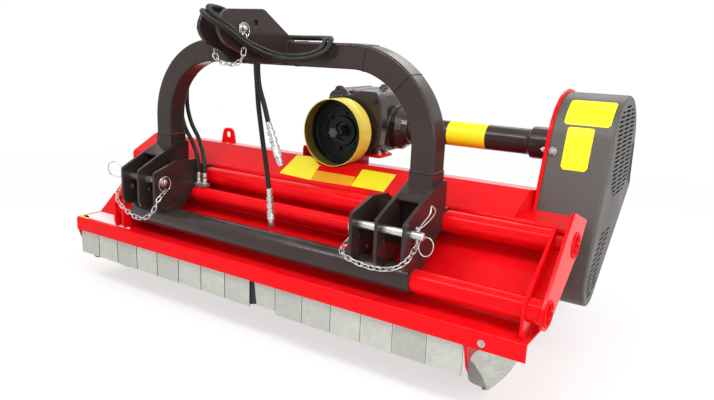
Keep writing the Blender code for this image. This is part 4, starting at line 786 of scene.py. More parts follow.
def bump(tree, shader, height, strength, distance):
    """Turns a height into a shading normal of the shader."""
    node = tree.nodes.new("ShaderNodeBump")
    node.inputs["Strength"].default_value = strength
    node.inputs["Distance"].default_value = distance
    tree.links.new(height, node.inputs["Height"])
    tree.links.new(node.outputs[0], shader.inputs["Normal"])


def shade(colour, k):
    """Colour made darker or lighter by a factor."""
    return (colour[0] * k, colour[1] * k, colour[2] * k, 1.0)


def worn(colour):
    """Paler tone of a colour where it is scuffed."""
    return (*(min(1.0, c * 1.9 + 0.05) for c in colour[:3]), 1.0)


def paint(name, colour, rough, coat=0.0, dust=0.12, scuff=0.0, cloud=0.16, ripple=0.05, ior=1.45):
    """Sprayed paint with a faint ripple, clouded tone, dust on what faces up and fine scuffs."""
    tree, shader, where = new_material(name, coat=coat, coat_rough=0.08, ior=ior)
    spray = use_group(tree, "sprayed paint", where)
    film = use_group(tree, "settled dust", where, Amount=dust)
    lines = use_group(tree, "fine scuffs", where, Amount=scuff)
    tone = mixed(tree, ramp(tree, spray["Cloud"], 0.3, 0.7), shade(colour, 1 - cloud), shade(colour, 1.0))
    tone = mixed(tree, film["Mask"], tone, (0.42, 0.39, 0.34, 1.0))
    tone = mixed(tree, lines["Mask"], tone, worn(colour))
    tree.links.new(tone, shader.inputs["Base Color"])
    dull = plus(tree, times(tree, film["Mask"], 0.9), times(tree, lines["Mask"], 0.5))
    level = plus(tree, ramp(tree, spray["Cloud"], 0.3, 0.7, rough * 0.85, rough * 1.2), dull)
    tree.links.new(level, shader.inputs["Roughness"])
    bump(tree, shader, spray["Height"], ripple, 0.0006)


def metal(name, colour, rough, metallic, grain, scale):
    """Bare or plated metal with fine grain and cloudy wear."""
    tree, shader, where = new_material(name, metallic)
    cast = use_group(tree, "cast grain", where, Scale=scale)
    film = use_group(tree, "settled dust", where, Amount=0.2)
    cloud = noise(tree, where, 45.0, 4.0, 0.6)
    tone = mixed(tree, ramp(tree, cloud, 0.3, 0.7), shade(colour, 0.72), shade(colour, 1.05))
    tone = mixed(tree, film["Mask"], tone, (0.34, 0.31, 0.27, 1.0))
    tree.links.new(tone, shader.inputs["Base Color"])
    tree.links.new(ramp(tree, cloud, 0.25, 0.75, rough * 0.75, rough * 1.35), shader.inputs["Roughness"])
    bump(tree, shader, cast["Height"], grain, 0.0004)


def cast_paint(look):
    """Gearbox casting under thick paint."""
    tree, shader, where = new_material("cast_paint", ior=1.45)
    cast = use_group(tree, "cast grain", where, Scale=210.0)
    film = use_group(tree, "settled dust", where, Amount=0.25)
    tone = mixed(tree, cast["Mask"], shade(look.frame, 0.62), shade(look.frame, 0.95))
    tone = mixed(tree, film["Mask"], tone, (0.3, 0.27, 0.23, 1.0))
    tree.links.new(tone, shader.inputs["Base Color"])
    tree.links.new(ramp(tree, cast["Mask"], 0.0, 1.0, 0.10, 0.24), shader.inputs["Roughness"])
    bump(tree, shader, cast["Height"], 0.35, 0.0009)


def galvanised(look, name, contrast, metallic, per_strip):
    """Hot-dip zinc; per_strip reads the tone that the flap tree gives each strip."""
    tree, shader, where = new_material(name, metallic)
    zinc = use_group(tree, "zinc spangle", where, Scale=58.0, Contrast=contrast)
    lines = use_group(tree, "fine scuffs", where, Amount=0.5)
    tone = mixed(tree, zinc["Tone"], shade(look.galvanised, 0.42), shade(look.galvanised, 1.12))
    if per_strip:
        # Each strip is darkened by its own random amount.
        strip = add(tree, "ShaderNodeAttribute", {"attribute_name": "tone"})
        strip_darkening = ramp(tree, strip.outputs["Fac"], 0.0, 1.0, 0.0, 0.42)
        tone = mixed(tree, strip_darkening, tone, shade(look.galvanised, 0.55))
    tone = mixed(tree, lines["Mask"], tone, (0.28, 0.28, 0.25, 1.0))
    tree.links.new(tone, shader.inputs["Base Color"])
    tree.links.new(ramp(tree, zinc["Tone"], 0.3, 1.1, 0.5, 0.34), shader.inputs["Roughness"])
    bump(tree, shader, zinc["Height"], 0.10, 0.0004)


def hose_rubber(look):
    """Rubber hose with its wrapped cover."""
    tree, shader, where = new_material("hose_rubber", ior=1.30)
    bands = {"wave_type": "BANDS", "bands_direction": "DIAGONAL"}
    wrap = add(tree, "ShaderNodeTexWave", bands, Vector=where, Scale=190.0, Distortion=1.4)
    film = use_group(tree, "settled dust", where, Amount=0.35)
    tone = mixed(tree, noise(tree, where, 30.0, 4.0), shade(look.hose, 0.7), shade(look.hose, 1.6))
    tone = mixed(tree, film["Mask"], tone, (0.16, 0.15, 0.135, 1.0))
    tree.links.new(tone, shader.inputs["Base Color"])
    tree.links.new(ramp(tree, noise(tree, where, 60.0, 3.0), 0.3, 0.7, 0.34, 0.52),
                   shader.inputs["Roughness"])
    bump(tree, shader, plus(tree, wrap.outputs["Fac"], noise(tree, where, 500.0, 2.0)), 0.25, 0.0004)


def build_materials(look):
    """Every finish of the machine."""
    paint("red_paint", look.red, 0.18, dust=0.02, scuff=0.06, cloud=0.10, ripple=0.025, ior=1.19)
    paint("frame_paint", look.frame, 0.19, dust=0.06, scuff=0.3, cloud=0.22, ripple=0.06, ior=1.35)
    paint("cover_paint", look.cover, 0.42, dust=0.10, scuff=0.3, cloud=0.12, ripple=0.18, ior=1.42)
    paint("guard_yellow", look.guard, 0.22, dust=0.05, scuff=0.2, cloud=0.12, ripple=0.04, ior=1.40)
    # Darker guard yellow for the band just inside the mouth: painted shade.
    paint("guard_painted_shade", look.shade, 0.5, dust=0.05, scuff=0.2, cloud=0.2, ripple=0.1)
    paint("guard_black", (0.010, 0.010, 0.011), 0.42, dust=0.12, scuff=0.2, cloud=0.3, ripple=0.2, ior=1.36)
    paint("plate_yellow", look.plate, 0.35, ior=1.3, dust=0.04, scuff=0.5, cloud=0.10, ripple=0.03)
    paint("plate_orange", look.band, 0.35, ior=1.3, dust=0.04, scuff=0.5, cloud=0.22, ripple=0.03)
    # Pale plate for the left shelf: a painted highlight standing in for glare on the red paint.
    paint("plate_painted_highlight", (0.86, 0.84, 0.82), 0.35, coat=0.3, dust=0.10, scuff=0.3, cloud=0.05, ripple=0.03)
    paint("belt_rubber", (0.012, 0.012, 0.012), 0.62, dust=0.3, scuff=0.2, cloud=0.3, ripple=0.4)
    metal("zinc", look.zinc, 0.28, 0.92, 0.12, 700.0)
    metal("bolt_zinc", look.zinc, 0.36, 0.85, 0.2, 900.0)
    metal("shaft_steel", (0.12, 0.12, 0.12), 0.45, 0.8, 0.15, 700.0)
    # Darker steel for the left facet of the right skid: painted shade.
    metal("skid_facet_painted_shade", (0.22, 0.21, 0.19), 0.40, 0.6, 0.3, 300.0)
    metal("hammer_steel", (0.20, 0.185, 0.17), 0.48, 0.75, 0.7, 240.0)
    metal("chrome_rod", (0.72, 0.72, 0.71), 0.12, 1.0, 0.03, 900.0)
    cast_paint(look)
    galvanised(look, "galvanised", 0.34, 0.45, True)
    galvanised(look, "galvanised_skid", 0.5, 0.6, False)
    hose_rubber(look)


# properties
def colour_prop(name, description, value):
    return bpy.props.FloatVectorProperty(name=name, description=description, default=(*value, 1.0), size=4,
                                         min=0.0, max=1.0, subtype="COLOR")


def length_prop(name, description, value, low=0.0001, high=1.0):
    return bpy.props.FloatProperty(name=name, description=description, default=value, min=low, max=high,
                                   unit="LENGTH", precision=5)


class MowerLook(bpy.types.PropertyGroup):
    """Colours of the finishes."""
    red: colour_prop("Deck Red", "Paint of the deck, guide tubes and backplate", (0.78, 0.003, 0.007))
    frame: colour_prop("Frame Paint", "Dark paint of the hitch, gearbox and drive tube",
                       (0.035, 0.023, 0.021))
    cover: colour_prop("Cover Paint", "Grey paint of the belt cover", (0.078, 0.069, 0.063))
    guard: colour_prop("Guard Yellow", "Outside of the shaft guard", (0.90, 0.74, 0.10))
    # Darker yellow of the guard's inner band near its mouth: painted shade for the shadowed inside of the
    # guard.
    shade: colour_prop("Guard Inside Painted Shade", "Inside of the shaft guard near its mouth", (0.14, 0.088, 0.008))
    plate: colour_prop("Plate Yellow", "Plain yellow plates", (0.92, 0.80, 0.015))
    band: colour_prop("Plate Orange", "Plain orange band on the deck", (0.86, 0.36, 0.012))
    galvanised: colour_prop("Galvanised", "Front flaps and skids", (0.50, 0.51, 0.46))
    zinc: colour_prop("Zinc", "Plated pins, chains and bolts", (0.66, 0.66, 0.64))
    hose: colour_prop("Hose Rubber", "Cover of the hydraulic hoses", (0.009, 0.009, 0.008))


class MowerSizes(bpy.types.PropertyGroup):
    """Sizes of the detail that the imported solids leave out."""
    edge: length_prop("Edge Round", "Round on the edges of cut plates", 0.0012, 0.0002, 0.004)
    cover_round: length_prop("Cover Round", "Pressed round at the rim of the belt cover", 0.0065, 0.001,
                             0.012)
    bead: length_prop("Weld Bead", "Half width of a weld bead", 0.0030, 0.001, 0.006)
    wire: length_prop("Chain Wire", "Wire of the chain links", 0.0028, 0.001, 0.005)
    pitch: length_prop("Chain Pitch", "Distance between chain links", 0.0175, 0.01, 0.03)
    hose: length_prop("Hose Diameter", "Outside of the hydraulic hoses", 0.015, 0.008, 0.02)
    flap: length_prop("Flap Thickness", "Steel strip of a front flap", 0.003, 0.001, 0.006)
    curl: length_prop("Flap Curl", "Outside radius of the rolled hinge of a flap", 0.0095, 0.007, 0.012)


class MowerStage(bpy.types.PropertyGroup):
    """Floor, lamps and camera."""
    key: bpy.props.FloatProperty(name="Key Lamp", description="Power of the large lamp above the front",
                                 default=20.0, min=0.0, unit="POWER")
    side: bpy.props.FloatProperty(name="Side Lamp", description="Power of the lamp at the right",
                                  default=15.0, min=0.0, unit="POWER")
    strip: bpy.props.FloatProperty(name="Strip Lamps",
                                   description="Power of the narrow lamps that draw the highlights",
                                   default=34.0, min=0.0, unit="POWER")
    sky: bpy.props.FloatProperty(name="Sky", description="Even light from all round", default=0.70, min=0.0,
                                 max=2.0)
    lens: bpy.props.FloatProperty(name="Lens", description="Focal length on a 36 mm sensor", default=33.29,
                                  min=10.0, max=200.0, subtype="DISTANCE_CAMERA")


class MowerOperator:
    """What all the buttons share: each makes its pieces with the values of the panel."""
    bl_options = {"REGISTER", "UNDO"}

    def execute(self, context):
        scene = context.scene
        self.make(scene.mower_look, scene.mower_sizes, scene.mower_stage)
        return {"FINISHED"}


class MOWER_OT_finishes(MowerOperator, bpy.types.Operator):
    """Make every paint, plating and rubber, and the trees for repeated parts"""
    bl_idname = "mower.finishes"
    bl_label = "Finishes"

    def make(self, look, sizes, stage):
        for build in (bolt_tree, weld_tree, chain_tree, flap_tree):
            build()
        for build in (spray_group, dust_group, scuff_group, spangle_group, cast_group):
            build()
        build_materials(look)


class MOWER_OT_stage(MowerOperator, bpy.types.Operator):
    """Set up the pale floor, the soft lamps and the camera"""
    bl_idname = "mower.stage"
    bl_label = "Stage"

    def seen(self, tree):
        """1 for rays straight from the camera, off something glossy or through glass."""
        rays = tree.nodes.new("ShaderNodeLightPath").outputs
        direct = maths(tree, "MAXIMUM", rays["Is Camera Ray"], rays["Is Glossy Ray"])
        return maths(tree, "MAXIMUM", direct, rays["Is Transmission Ray"])

    def blend(self, tree, factor, lit, white, target):
        """Mixes two shaders into the output node of a tree."""
        node = tree.nodes.new("ShaderNodeMixShader")
        for value, socket in zip((factor, lit.outputs[0], white.outputs[0]), node.inputs):
            tree.links.new(value, socket)
        tree.links.new(node.outputs[0], tree.nodes[target].inputs[0])

    def floor(self):
        """Floor that takes the shadow near the machine and fades to plain white away from it."""
        half = 14
        mesh = bpy.data.meshes.new("floor")
        corners = [(-half, -half, 0), (half, -half, 0), (half, half, 0), (-half, half, 0)]
        mesh.from_pydata(corners, [], [(0, 1, 2, 3)])
        add_object("floor", mesh)
        mat = bpy.data.materials.new("floor_white")
        mat.use_nodes = True
        tree = mat.node_tree
        shader = tree.nodes["Principled BSDF"]
        shader.inputs["Base Color"].default_value = (0.97, 0.97, 0.97, 1.0)
        shader.inputs["Roughness"].default_value = 0.9
        glow = add(tree, "ShaderNodeEmission", Strength=1.0)
        place_in = tree.nodes.new("ShaderNodeTexCoord").outputs["Object"]
        away = add(tree, "ShaderNodeVectorMath", {"operation": "LENGTH"}, Vector=place_in)
        even = ramp(tree, away.outputs["Value"], 1.2, 3.6, 0.66, 1.0)
        self.blend(tree, times(tree, self.seen(tree), even), shader, glow, "Material Output")
        mesh.materials.append(mat)

    def sky(self, scene, strength):
        """Even light from all round, which the camera sees as plain white."""
        world = bpy.data.worlds.new("studio")
        scene.world = world
        world.use_nodes = True
        tree = world.node_tree
        plain = tree.nodes["Background"]
        plain.inputs["Color"].default_value = (1.0, 1.0, 1.0, 1.0)
        plain.inputs["Strength"].default_value = strength
        white = add(tree, "ShaderNodeBackground", Color=(1.0, 1.0, 1.0, 1.0), Strength=1.0)
        self.blend(tree, self.seen(tree), plain, white, "World Output")

    def make(self, look, sizes, stage):
        scene = bpy.context.scene
        scene.view_settings.view_transform = "Standard"
        self.floor()
        self.sky(scene, stage.sky)
        self.lamp("key_lamp", (-0.6, -1.7, 3.0), (0.0, 0.0, 0.3), 2.6, 1.1, stage.key)
        self.lamp("side_lamp", (3.0, -0.5, 1.6), (0.2, 0.0, 0.5), 1.2, 1.8, stage.side)
        self.lamp("strip_lamp_long", (0.4, -1.5, 2.3), (0.1, -0.2, 0.4), 3.2, 0.045, stage.strip)
        self.lamp("strip_lamp_right", (2.3, -1.5, 1.7), (0.2, -0.2, 0.5), 0.06, 2.0, stage.strip * 0.5)
        self.lamp("back_lamp", (0.4, 2.4, 2.6), (0.0, 0.0, 0.5), 2.4, 0.8, stage.side * 1.2)
        self.camera(scene, stage.lens)

    def lamp(self, name, at, to, wide, high, power):
        """Soft rectangular lamp that shines from one point at another."""
        data = bpy.data.lights.new(name, "AREA")
        data.shape = "RECTANGLE"
        data.size, data.size_y, data.energy = wide, high, power
        ob = add_object(name, data)
        ob.location = at
        ob.rotation_mode = "QUATERNION"
        ob.rotation_quaternion = (Vector(to) - Vector(at)).to_track_quat("-Z", "Y")

    def camera(self, scene, lens):
        """Camera in the photographer's place."""
        yaw, pitch, roll = math.radians(35.27), math.radians(13.83), math.radians(-1.554)
        ahead = Vector((-math.sin(yaw) * math.cos(pitch), math.cos(yaw) * math.cos(pitch), -math.sin(pitch)))
        right = Vector((math.cos(yaw), math.sin(yaw), 0.0))
        down = -right.cross(ahead)
        level = right * math.cos(roll) + down * math.sin(roll)
        drop = down * math.cos(roll) - right * math.sin(roll)
        data = bpy.data.cameras.new("camera")
        data.lens, data.sensor_width = lens, 36.0
        data.shift_x = 0.0594
        ob = add_object("camera", data)
        spot = Vector((1.2539, -1.8596, 0.9178))
        ob.matrix_world = Matrix.Translation(spot) @ Matrix((level, -drop, -ahead)).transposed().to_4x4()
        scene.camera = ob


class MOWER_OT_hoses(MowerOperator, bpy.types.Operator):
    """Make the two hydraulic hoses, their crimped ferrules and their quick couplers"""
    bl_idname = "mower.hoses"
    bl_label = "Hydraulic Hoses"

    def make(self, look, sizes, stage):
        hoses = (("a", HOSE_A, COUPLER_A, PORTS[0]), ("b", HOSE_B, COUPLER_B, PORTS[1]))
        for tag, route, ends, port in hoses:
            coupler = self.coupler(tag, ends)
            ferrule = self.ferrule(tag, port)
            line = catmull(route, 0.008)
            hose = line_object("hydraulic_hose_%s_rubber" % tag, [line])
            hose.data.bevel_depth = sizes.hose / 2
            hose.data.bevel_resolution = 5
            hose.data.use_fill_caps = True
            hose.data.splines[0].use_smooth = True
            hose.data.materials.append(MATS["hose_rubber"])
            hand_over(hose, "hitch", "hose", "hydraulic_hose_" + tag)

    def ferrule(self, tag, x):
        """Crimped sleeve at the port."""
        bm = bmesh.new()
        profile = [(PORT_Z + 0.0005, 0.0068), (PORT_Z + 0.0005, 0.0088), (PORT_Z + 0.010, 0.0088),
                   (PORT_Z + 0.011, 0.0082)]
        for k in range(4):
            z = PORT_Z + 0.012 + 0.004 * k
            profile += [(z, 0.0080), (z + 0.001, 0.0086), (z + 0.003, 0.0086)]
        profile += [(PORT_Z + 0.029, 0.0078), (PORT_Z + 0.029, 0.0068)]
        lathe(bm, profile, "Z", x, CYL[0], 28)
        return hand_over(piece("hose_ferrule_" + tag, bm, ["zinc"]), "hitch", "zinc")

    def coupler(self, tag, ends):
        """Quick coupler at the free end, with its crimped sleeve and its knurled ring."""
        a, b = Vector(ends[0]), Vector(ends[1])
        size = (b - a).length
        bm = bmesh.new()
        profile = [(-0.026, 0.0), (-0.026, 0.0082), (-0.024, 0.0088)]
        for k in range(4):
            z = -0.022 + 0.0045 * k
            profile += [(z, 0.0080), (z + 0.001, 0.0090), (z + 0.0033, 0.0090)]
        profile += [(-0.003, 0.0076), (0.0, 0.0076), (0.0006, 0.0112), (0.012, 0.0112), (0.013, 0.0078),
                    (0.020, 0.0078), (0.021, 0.0118), (0.034, 0.0118), (0.036, 0.0094), (0.044, 0.0094),
                    (0.046, 0.0125)]
        z = 0.050
        while z < size - 0.030:
            profile += [(z, 0.0125), (z + 0.0012, 0.0119), (z + 0.0024, 0.0125)]
            z += 0.0042
        profile += [(size - 0.026, 0.0125), (size - 0.024, 0.0100), (size - 0.006, 0.0096),
                    (size - 0.004, 0.0086), (size, 0.0082), (size, 0.0060), (size - 0.012, 0.0052),
                    (size - 0.012, 0.0)]
        lathe(bm, profile, "Z", 0.0, 0.0, 36)
        turn = Vector((0, 0, 1)).rotation_difference((b - a).normalized()).to_matrix().to_4x4()
        bmesh.ops.transform(bm, verts=bm.verts, matrix=Matrix.Translation(a) @ turn)
        return hand_over(piece("hose_coupler_%s_turned" % tag, bm, ["zinc"], 28), "hitch", "zinc",
                         "hose_coupler_" + tag)


class MOWER_OT_deck(MowerOperator, bpy.types.Operator):
    """Dress the deck, side plates and skids, and lay the plain plates on the deck"""
    bl_idname = "mower.deck"
    bl_label = "Deck"

    def rise(self, x, y):
        """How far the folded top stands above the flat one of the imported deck."""
        if y <= TOP_FRONT_Y or y >= TOP_REAR_Y or x > FOLD_END[1] - 0.0005:
            return 0.0
        high = RIDGE[1] - DECK_Z
        up = min(high * (y - TOP_FRONT_Y) / (RIDGE[0] - TOP_FRONT_Y),
                 high * (TOP_REAR_Y - y) / (TOP_REAR_Y - RIDGE[0]))
        if POCKET_X[0] < x < POCKET_X[3] and POCKET_Y[0] < y < POCKET_Y[3]:
            over = max(0.0, up + DECK_Z - POCKET_Z)
            side = min(1.0, (x - POCKET_X[0]) / (POCKET_X[1] - POCKET_X[0]),
                       (POCKET_X[3] - x) / (POCKET_X[3] - POCKET_X[2]))
            end = min(1.0, (POCKET_Y[3] - y) / (POCKET_Y[3] - POCKET_Y[2]))
            up -= over * side * end
        return up

    def fold(self, bm):
        """Folds the flat top of the deck up to its ridge, with a shallow pocket under the shaft guard."""
        for axis, spots in (((1, 0, 0), (*POCKET_X, *FOLD_END)), ((0, 1, 0), POCKET_Y)):
            for at in spots:
                faces = [f for f in bm.faces if min(v.co.z for v in f.verts) > DECK_Z - 0.020]
                geom = list({v for f in faces for v in f.verts})
                geom += list({e for f in faces for e in f.edges}) + faces
                place_at = Vector((at, at, 0.0)) + SHIFT
                bmesh.ops.bisect_plane(bm, geom=geom, dist=1e-5, plane_co=place_at, plane_no=axis)
        for v in bm.verts:
            if DECK_Z - 0.012 < v.co.z < DECK_Z + 0.012:
                v.co.z += self.rise(v.co.x - SHIFT.x, v.co.y - SHIFT.y)
        front = [e for e in bm.edges if abs(e.verts[0].co.x - e.verts[1].co.x) > 0.02
                 and all(abs(v.co.z - DECK_Z) < 0.001 for v in e.verts)
                 and all(abs(v.co.y - SHIFT.y - TOP_FRONT_Y) < 0.003 for v in e.verts)]
        bmesh.ops.bevel(bm, geom=front, offset=0.006, segments=4, affect="EDGES", clamp_overlap=True)

    def decal(self, name, outline, mat, ground, lift):
        """Plain plate cut to an outline, split into small cells and laid on the surface below it."""
        above, thick = 0.56, 0.0004
        bm = bmesh.new()
        verts = [bm.verts.new((*p, 0.0)) for p in eased(outline, 0.004)]
        bm.faces.new(verts)
        cell = 0.006
        for axis, across in ((0, (1, 0, 0)), (1, (0, 1, 0))):
            lo, hi = min(v.co[axis] for v in verts), max(v.co[axis] for v in verts)
            for k in range(1, int((hi - lo) / cell)):
                at = lo + cell * k
                bmesh.ops.bisect_plane(bm, geom=bm.verts[:] + bm.edges[:] + bm.faces[:], dist=1e-6,
                                       plane_co=(at, at, 0.0), plane_no=across)
        for v in bm.verts:
            spot = Vector((v.co.x, v.co.y, 0.0)) + SHIFT
            hit = ground.ray_cast(Vector((spot.x, spot.y, above)), Vector((0, 0, -1)))[0]
            v.co.z = (hit.z if hit else DECK_Z) + lift
        pulled = bmesh.ops.extrude_face_region(bm, geom=bm.faces[:])["geom"]
        bmesh.ops.translate(bm, verts=[v for v in pulled if isinstance(v, bmesh.types.BMVert)],
                            vec=(0, 0, -thick))
        hand_over(piece(name, bm, [mat]), "deck", "red_paint")

    def nose(self):
        """Right skid: a folded nose that curls up under the lip, and a narrow sole behind it."""
        x = SIDE_RIGHT_X + SEAT_GAP
        rows = (
            ((0.7440, -0.4655, 0.2042), (0.7450, -0.4660, 0.2044), (0.785, -0.4640, 0.2045),
             (0.8280, -0.4560, 0.2045)),
            ((0.7365, -0.4640, 0.1934), (0.7375, -0.4645, 0.1936), (0.782, -0.4600, 0.1940),
             (0.8270, -0.4500, 0.1960)),
            ((0.7225, -0.4620, 0.1781), (0.7235, -0.4625, 0.1783), (0.772, -0.4560, 0.1800),
             (0.8250, -0.4440, 0.1880)),
            ((0.7100, -0.4520, 0.1525), (0.7115, -0.4530, 0.1530), (0.766, -0.4500, 0.1660),
             (0.8223, -0.4394, 0.1787)),
            ((x, -0.4476, 0.1318), (0.7227, -0.4516, 0.1444), (0.7700, -0.4480, 0.1530),
             (0.8155, -0.4356, 0.1644)),
            ((0.7000, -0.4338, 0.1069), (0.7342, -0.4518, 0.1294), (0.7720, -0.4470, 0.1390),
             (0.8087, -0.4358, 0.1489)),
            ((0.7000, -0.4209, 0.0802), (0.7413, -0.4389, 0.1099), (0.7660, -0.4330, 0.1140),
             (0.7907, -0.4229, 0.1187)),
            ((0.7000, -0.3862, 0.0541), (0.7361, -0.4042, 0.0761), (0.7510, -0.3980, 0.0770),
             (0.7650, -0.3882, 0.0785)),
            ((0.7000, -0.3263, 0.0182), (0.7210, -0.3443, 0.0339), (0.7270, -0.3370, 0.0310),
             (0.7323, -0.3283, 0.0289)),
            ((0.7020, -0.2880, 0.0), (0.7070, -0.2890, 0.0), (0.7085, -0.2880, 0.0), (0.7100, -0.2860, 0.0)),
            ((x, -0.0600, 0.0), (0.7110, -0.0600, 0.0), (0.7150, -0.0600, 0.0), (0.7190, -0.0600, 0.0)))
        columns = [catmull(line, count=5) for line in zip(*rows)]
        bm = bmesh.new()
        grid = [[bm.verts.new((p.x, p.y, max(0.0, p.z))) for p in line] for line in columns]
        # The left facet of the nose, between the first two columns, takes the darker steel: painted shade for
        # the facet that faces away from the light.
        for k, (a, b) in enumerate(zip(grid, grid[1:])):
            for i in range(len(a) - 1):
                bm.faces.new((a[i], a[i + 1], b[i + 1], b[i])).material_index = 0 if k else 1
        for i in range(len(grid[1]) - 1):
            bm.edges.get((grid[1][i], grid[1][i + 1])).smooth = False
        bmesh.ops.recalc_face_normals(bm, faces=bm.faces)
        if sum((f.normal.z - f.normal.y) * f.calc_area() for f in bm.faces) < 0:
            bmesh.ops.reverse_faces(bm, faces=bm.faces)
        bmesh.ops.solidify(bm, geom=bm.faces[:], thickness=WALL)
        web = [(-0.300, 0.0015), (-0.060, 0.0015), (-0.060, 0.022), (-0.090, 0.040), (-0.270, 0.040),
               (-0.325, 0.045)]
        plate(bm, eased(web, 0.006), [], "X", x, x + WALL)
        return piece("skid_right_folded", bm, ["galvanised_skid", "skid_facet_painted_shade"], 26)

    def make(self, look, sizes, stage):
        shell = dressed("deck_shell", "red_paint", sizes.edge * 1.1, form=self.fold)
        ground = BVHTree.FromPolygons([v.co for v in shell.data.vertices],
                                      [tuple(f.vertices) for f in shell.data.polygons])
        hand_over(shell, "deck", "red_paint", "deck_shell")
        for node in ("side_plate_left", "side_plate_right"):
            hand_over(dressed(node, "red_paint", sizes.edge, form=self.fold), "deck", "red_paint", node)
        hand_over(dressed("skid_left", "galvanised_skid", 0.0007, 2, 20.0, 24.0), "deck", "galvanised",
                  "skid_left")
        hand_over(self.nose(), "deck", "galvanised", "skid_right")
        for node in ("flap_rod", "hood_rod"):
            recoat(node, "bolt_zinc")
        wide = ((-0.116, -0.180), (-0.116, -0.081), (-0.060, -0.079), (0.002, -0.103), (0.008, -0.139),
                (0.020, -0.188))
        band = ((0.020, -0.188), (0.008, -0.140), (0.163, -0.141), (0.173, -0.184))
        small = ((0.173, -0.183), (0.165, -0.102), (0.289, -0.103), (0.292, -0.184))
        self.decal("deck_plate_wide", wide, "plate_yellow", ground, 0.0005)
        self.decal("deck_band", band, "plate_orange", ground, 0.0007)
        self.decal("deck_plate_small", small, "plate_yellow", ground, 0.0008)
        # The pale patch on the left shelf is a painted highlight: the glare of the lamps on the glossy shelf.
        shelf = 0.2430 + 0.0001
        patch = ((-0.838, -0.455), (-0.838, -0.372), (-0.680, -0.372), (-0.565, -0.455))
        corner = ((-0.843, -0.464), (-0.843, -0.434), (-0.812, -0.444), (-0.784, -0.464))
        for name, mat, outline in (("shelf_painted_highlight", "plate_painted_highlight", patch),
                                   ("shelf_corner_patch", "plate_yellow", corner)):
            bm = bmesh.new()
            plate(bm, eased(outline, 0.003), [], "Z", shelf, shelf + 0.0004)
            hand_over(piece(name, bm, [mat]), "deck", "red_paint")
        spots = [((0.7425, -0.4725, 0.213), (0, -1, 0), 0.8)]
        spots += [((0.7098, y, 0.060), (1, 0, 0)) for y in (-0.200, 0.150)]
        bolts("deck_bolts", "deck", "zinc", "bolt_zinc", spots)


class MOWER_OT_guides(MowerOperator, bpy.types.Operator):
    """Turn the two guide tubes and dress the end plates that hold them"""
    bl_idname = "mower.guides"
    bl_label = "Guide Tubes"

    def make(self, look, sizes, stage):
        for name, (y, z) in (("upper_guide_tube", TOP_TUBE), ("lower_guide_tube", LOW_TUBE)):
            bm = bmesh.new()
            a, b = END_L_OUT_X, END_OUT_X + END_T
            profile = eased([(a, TUBE_BORE), (a, TUBE_R), (b, TUBE_R), (b, TUBE_BORE)], 0.0008, 45)
            lathe(bm, profile, "X", y, z, 72)
            hand_over(piece(name + "_turned", bm, ["red_paint"]), "deck", "red_paint", name)
        for node in ("guide_end_left", "guide_end_right"):
            hand_over(dressed(node, "red_paint", sizes.edge * 1.2), "deck", "red_paint", node)
        rings = []
        for y, z in (TOP_TUBE, LOW_TUBE):
            for x in (END_IN_X - 0.001, END_OUT_X - 0.001, END_OUT_X + END_T + 0.0005,
                      END_L_IN_X + END_T + 0.001):
                rings.append(seam("X", x, y, z, TUBE_R + 0.0012, 48, 0, 352))
        welds("guide_welds", "deck", "red_paint", "red_paint", rings, sizes.bead)


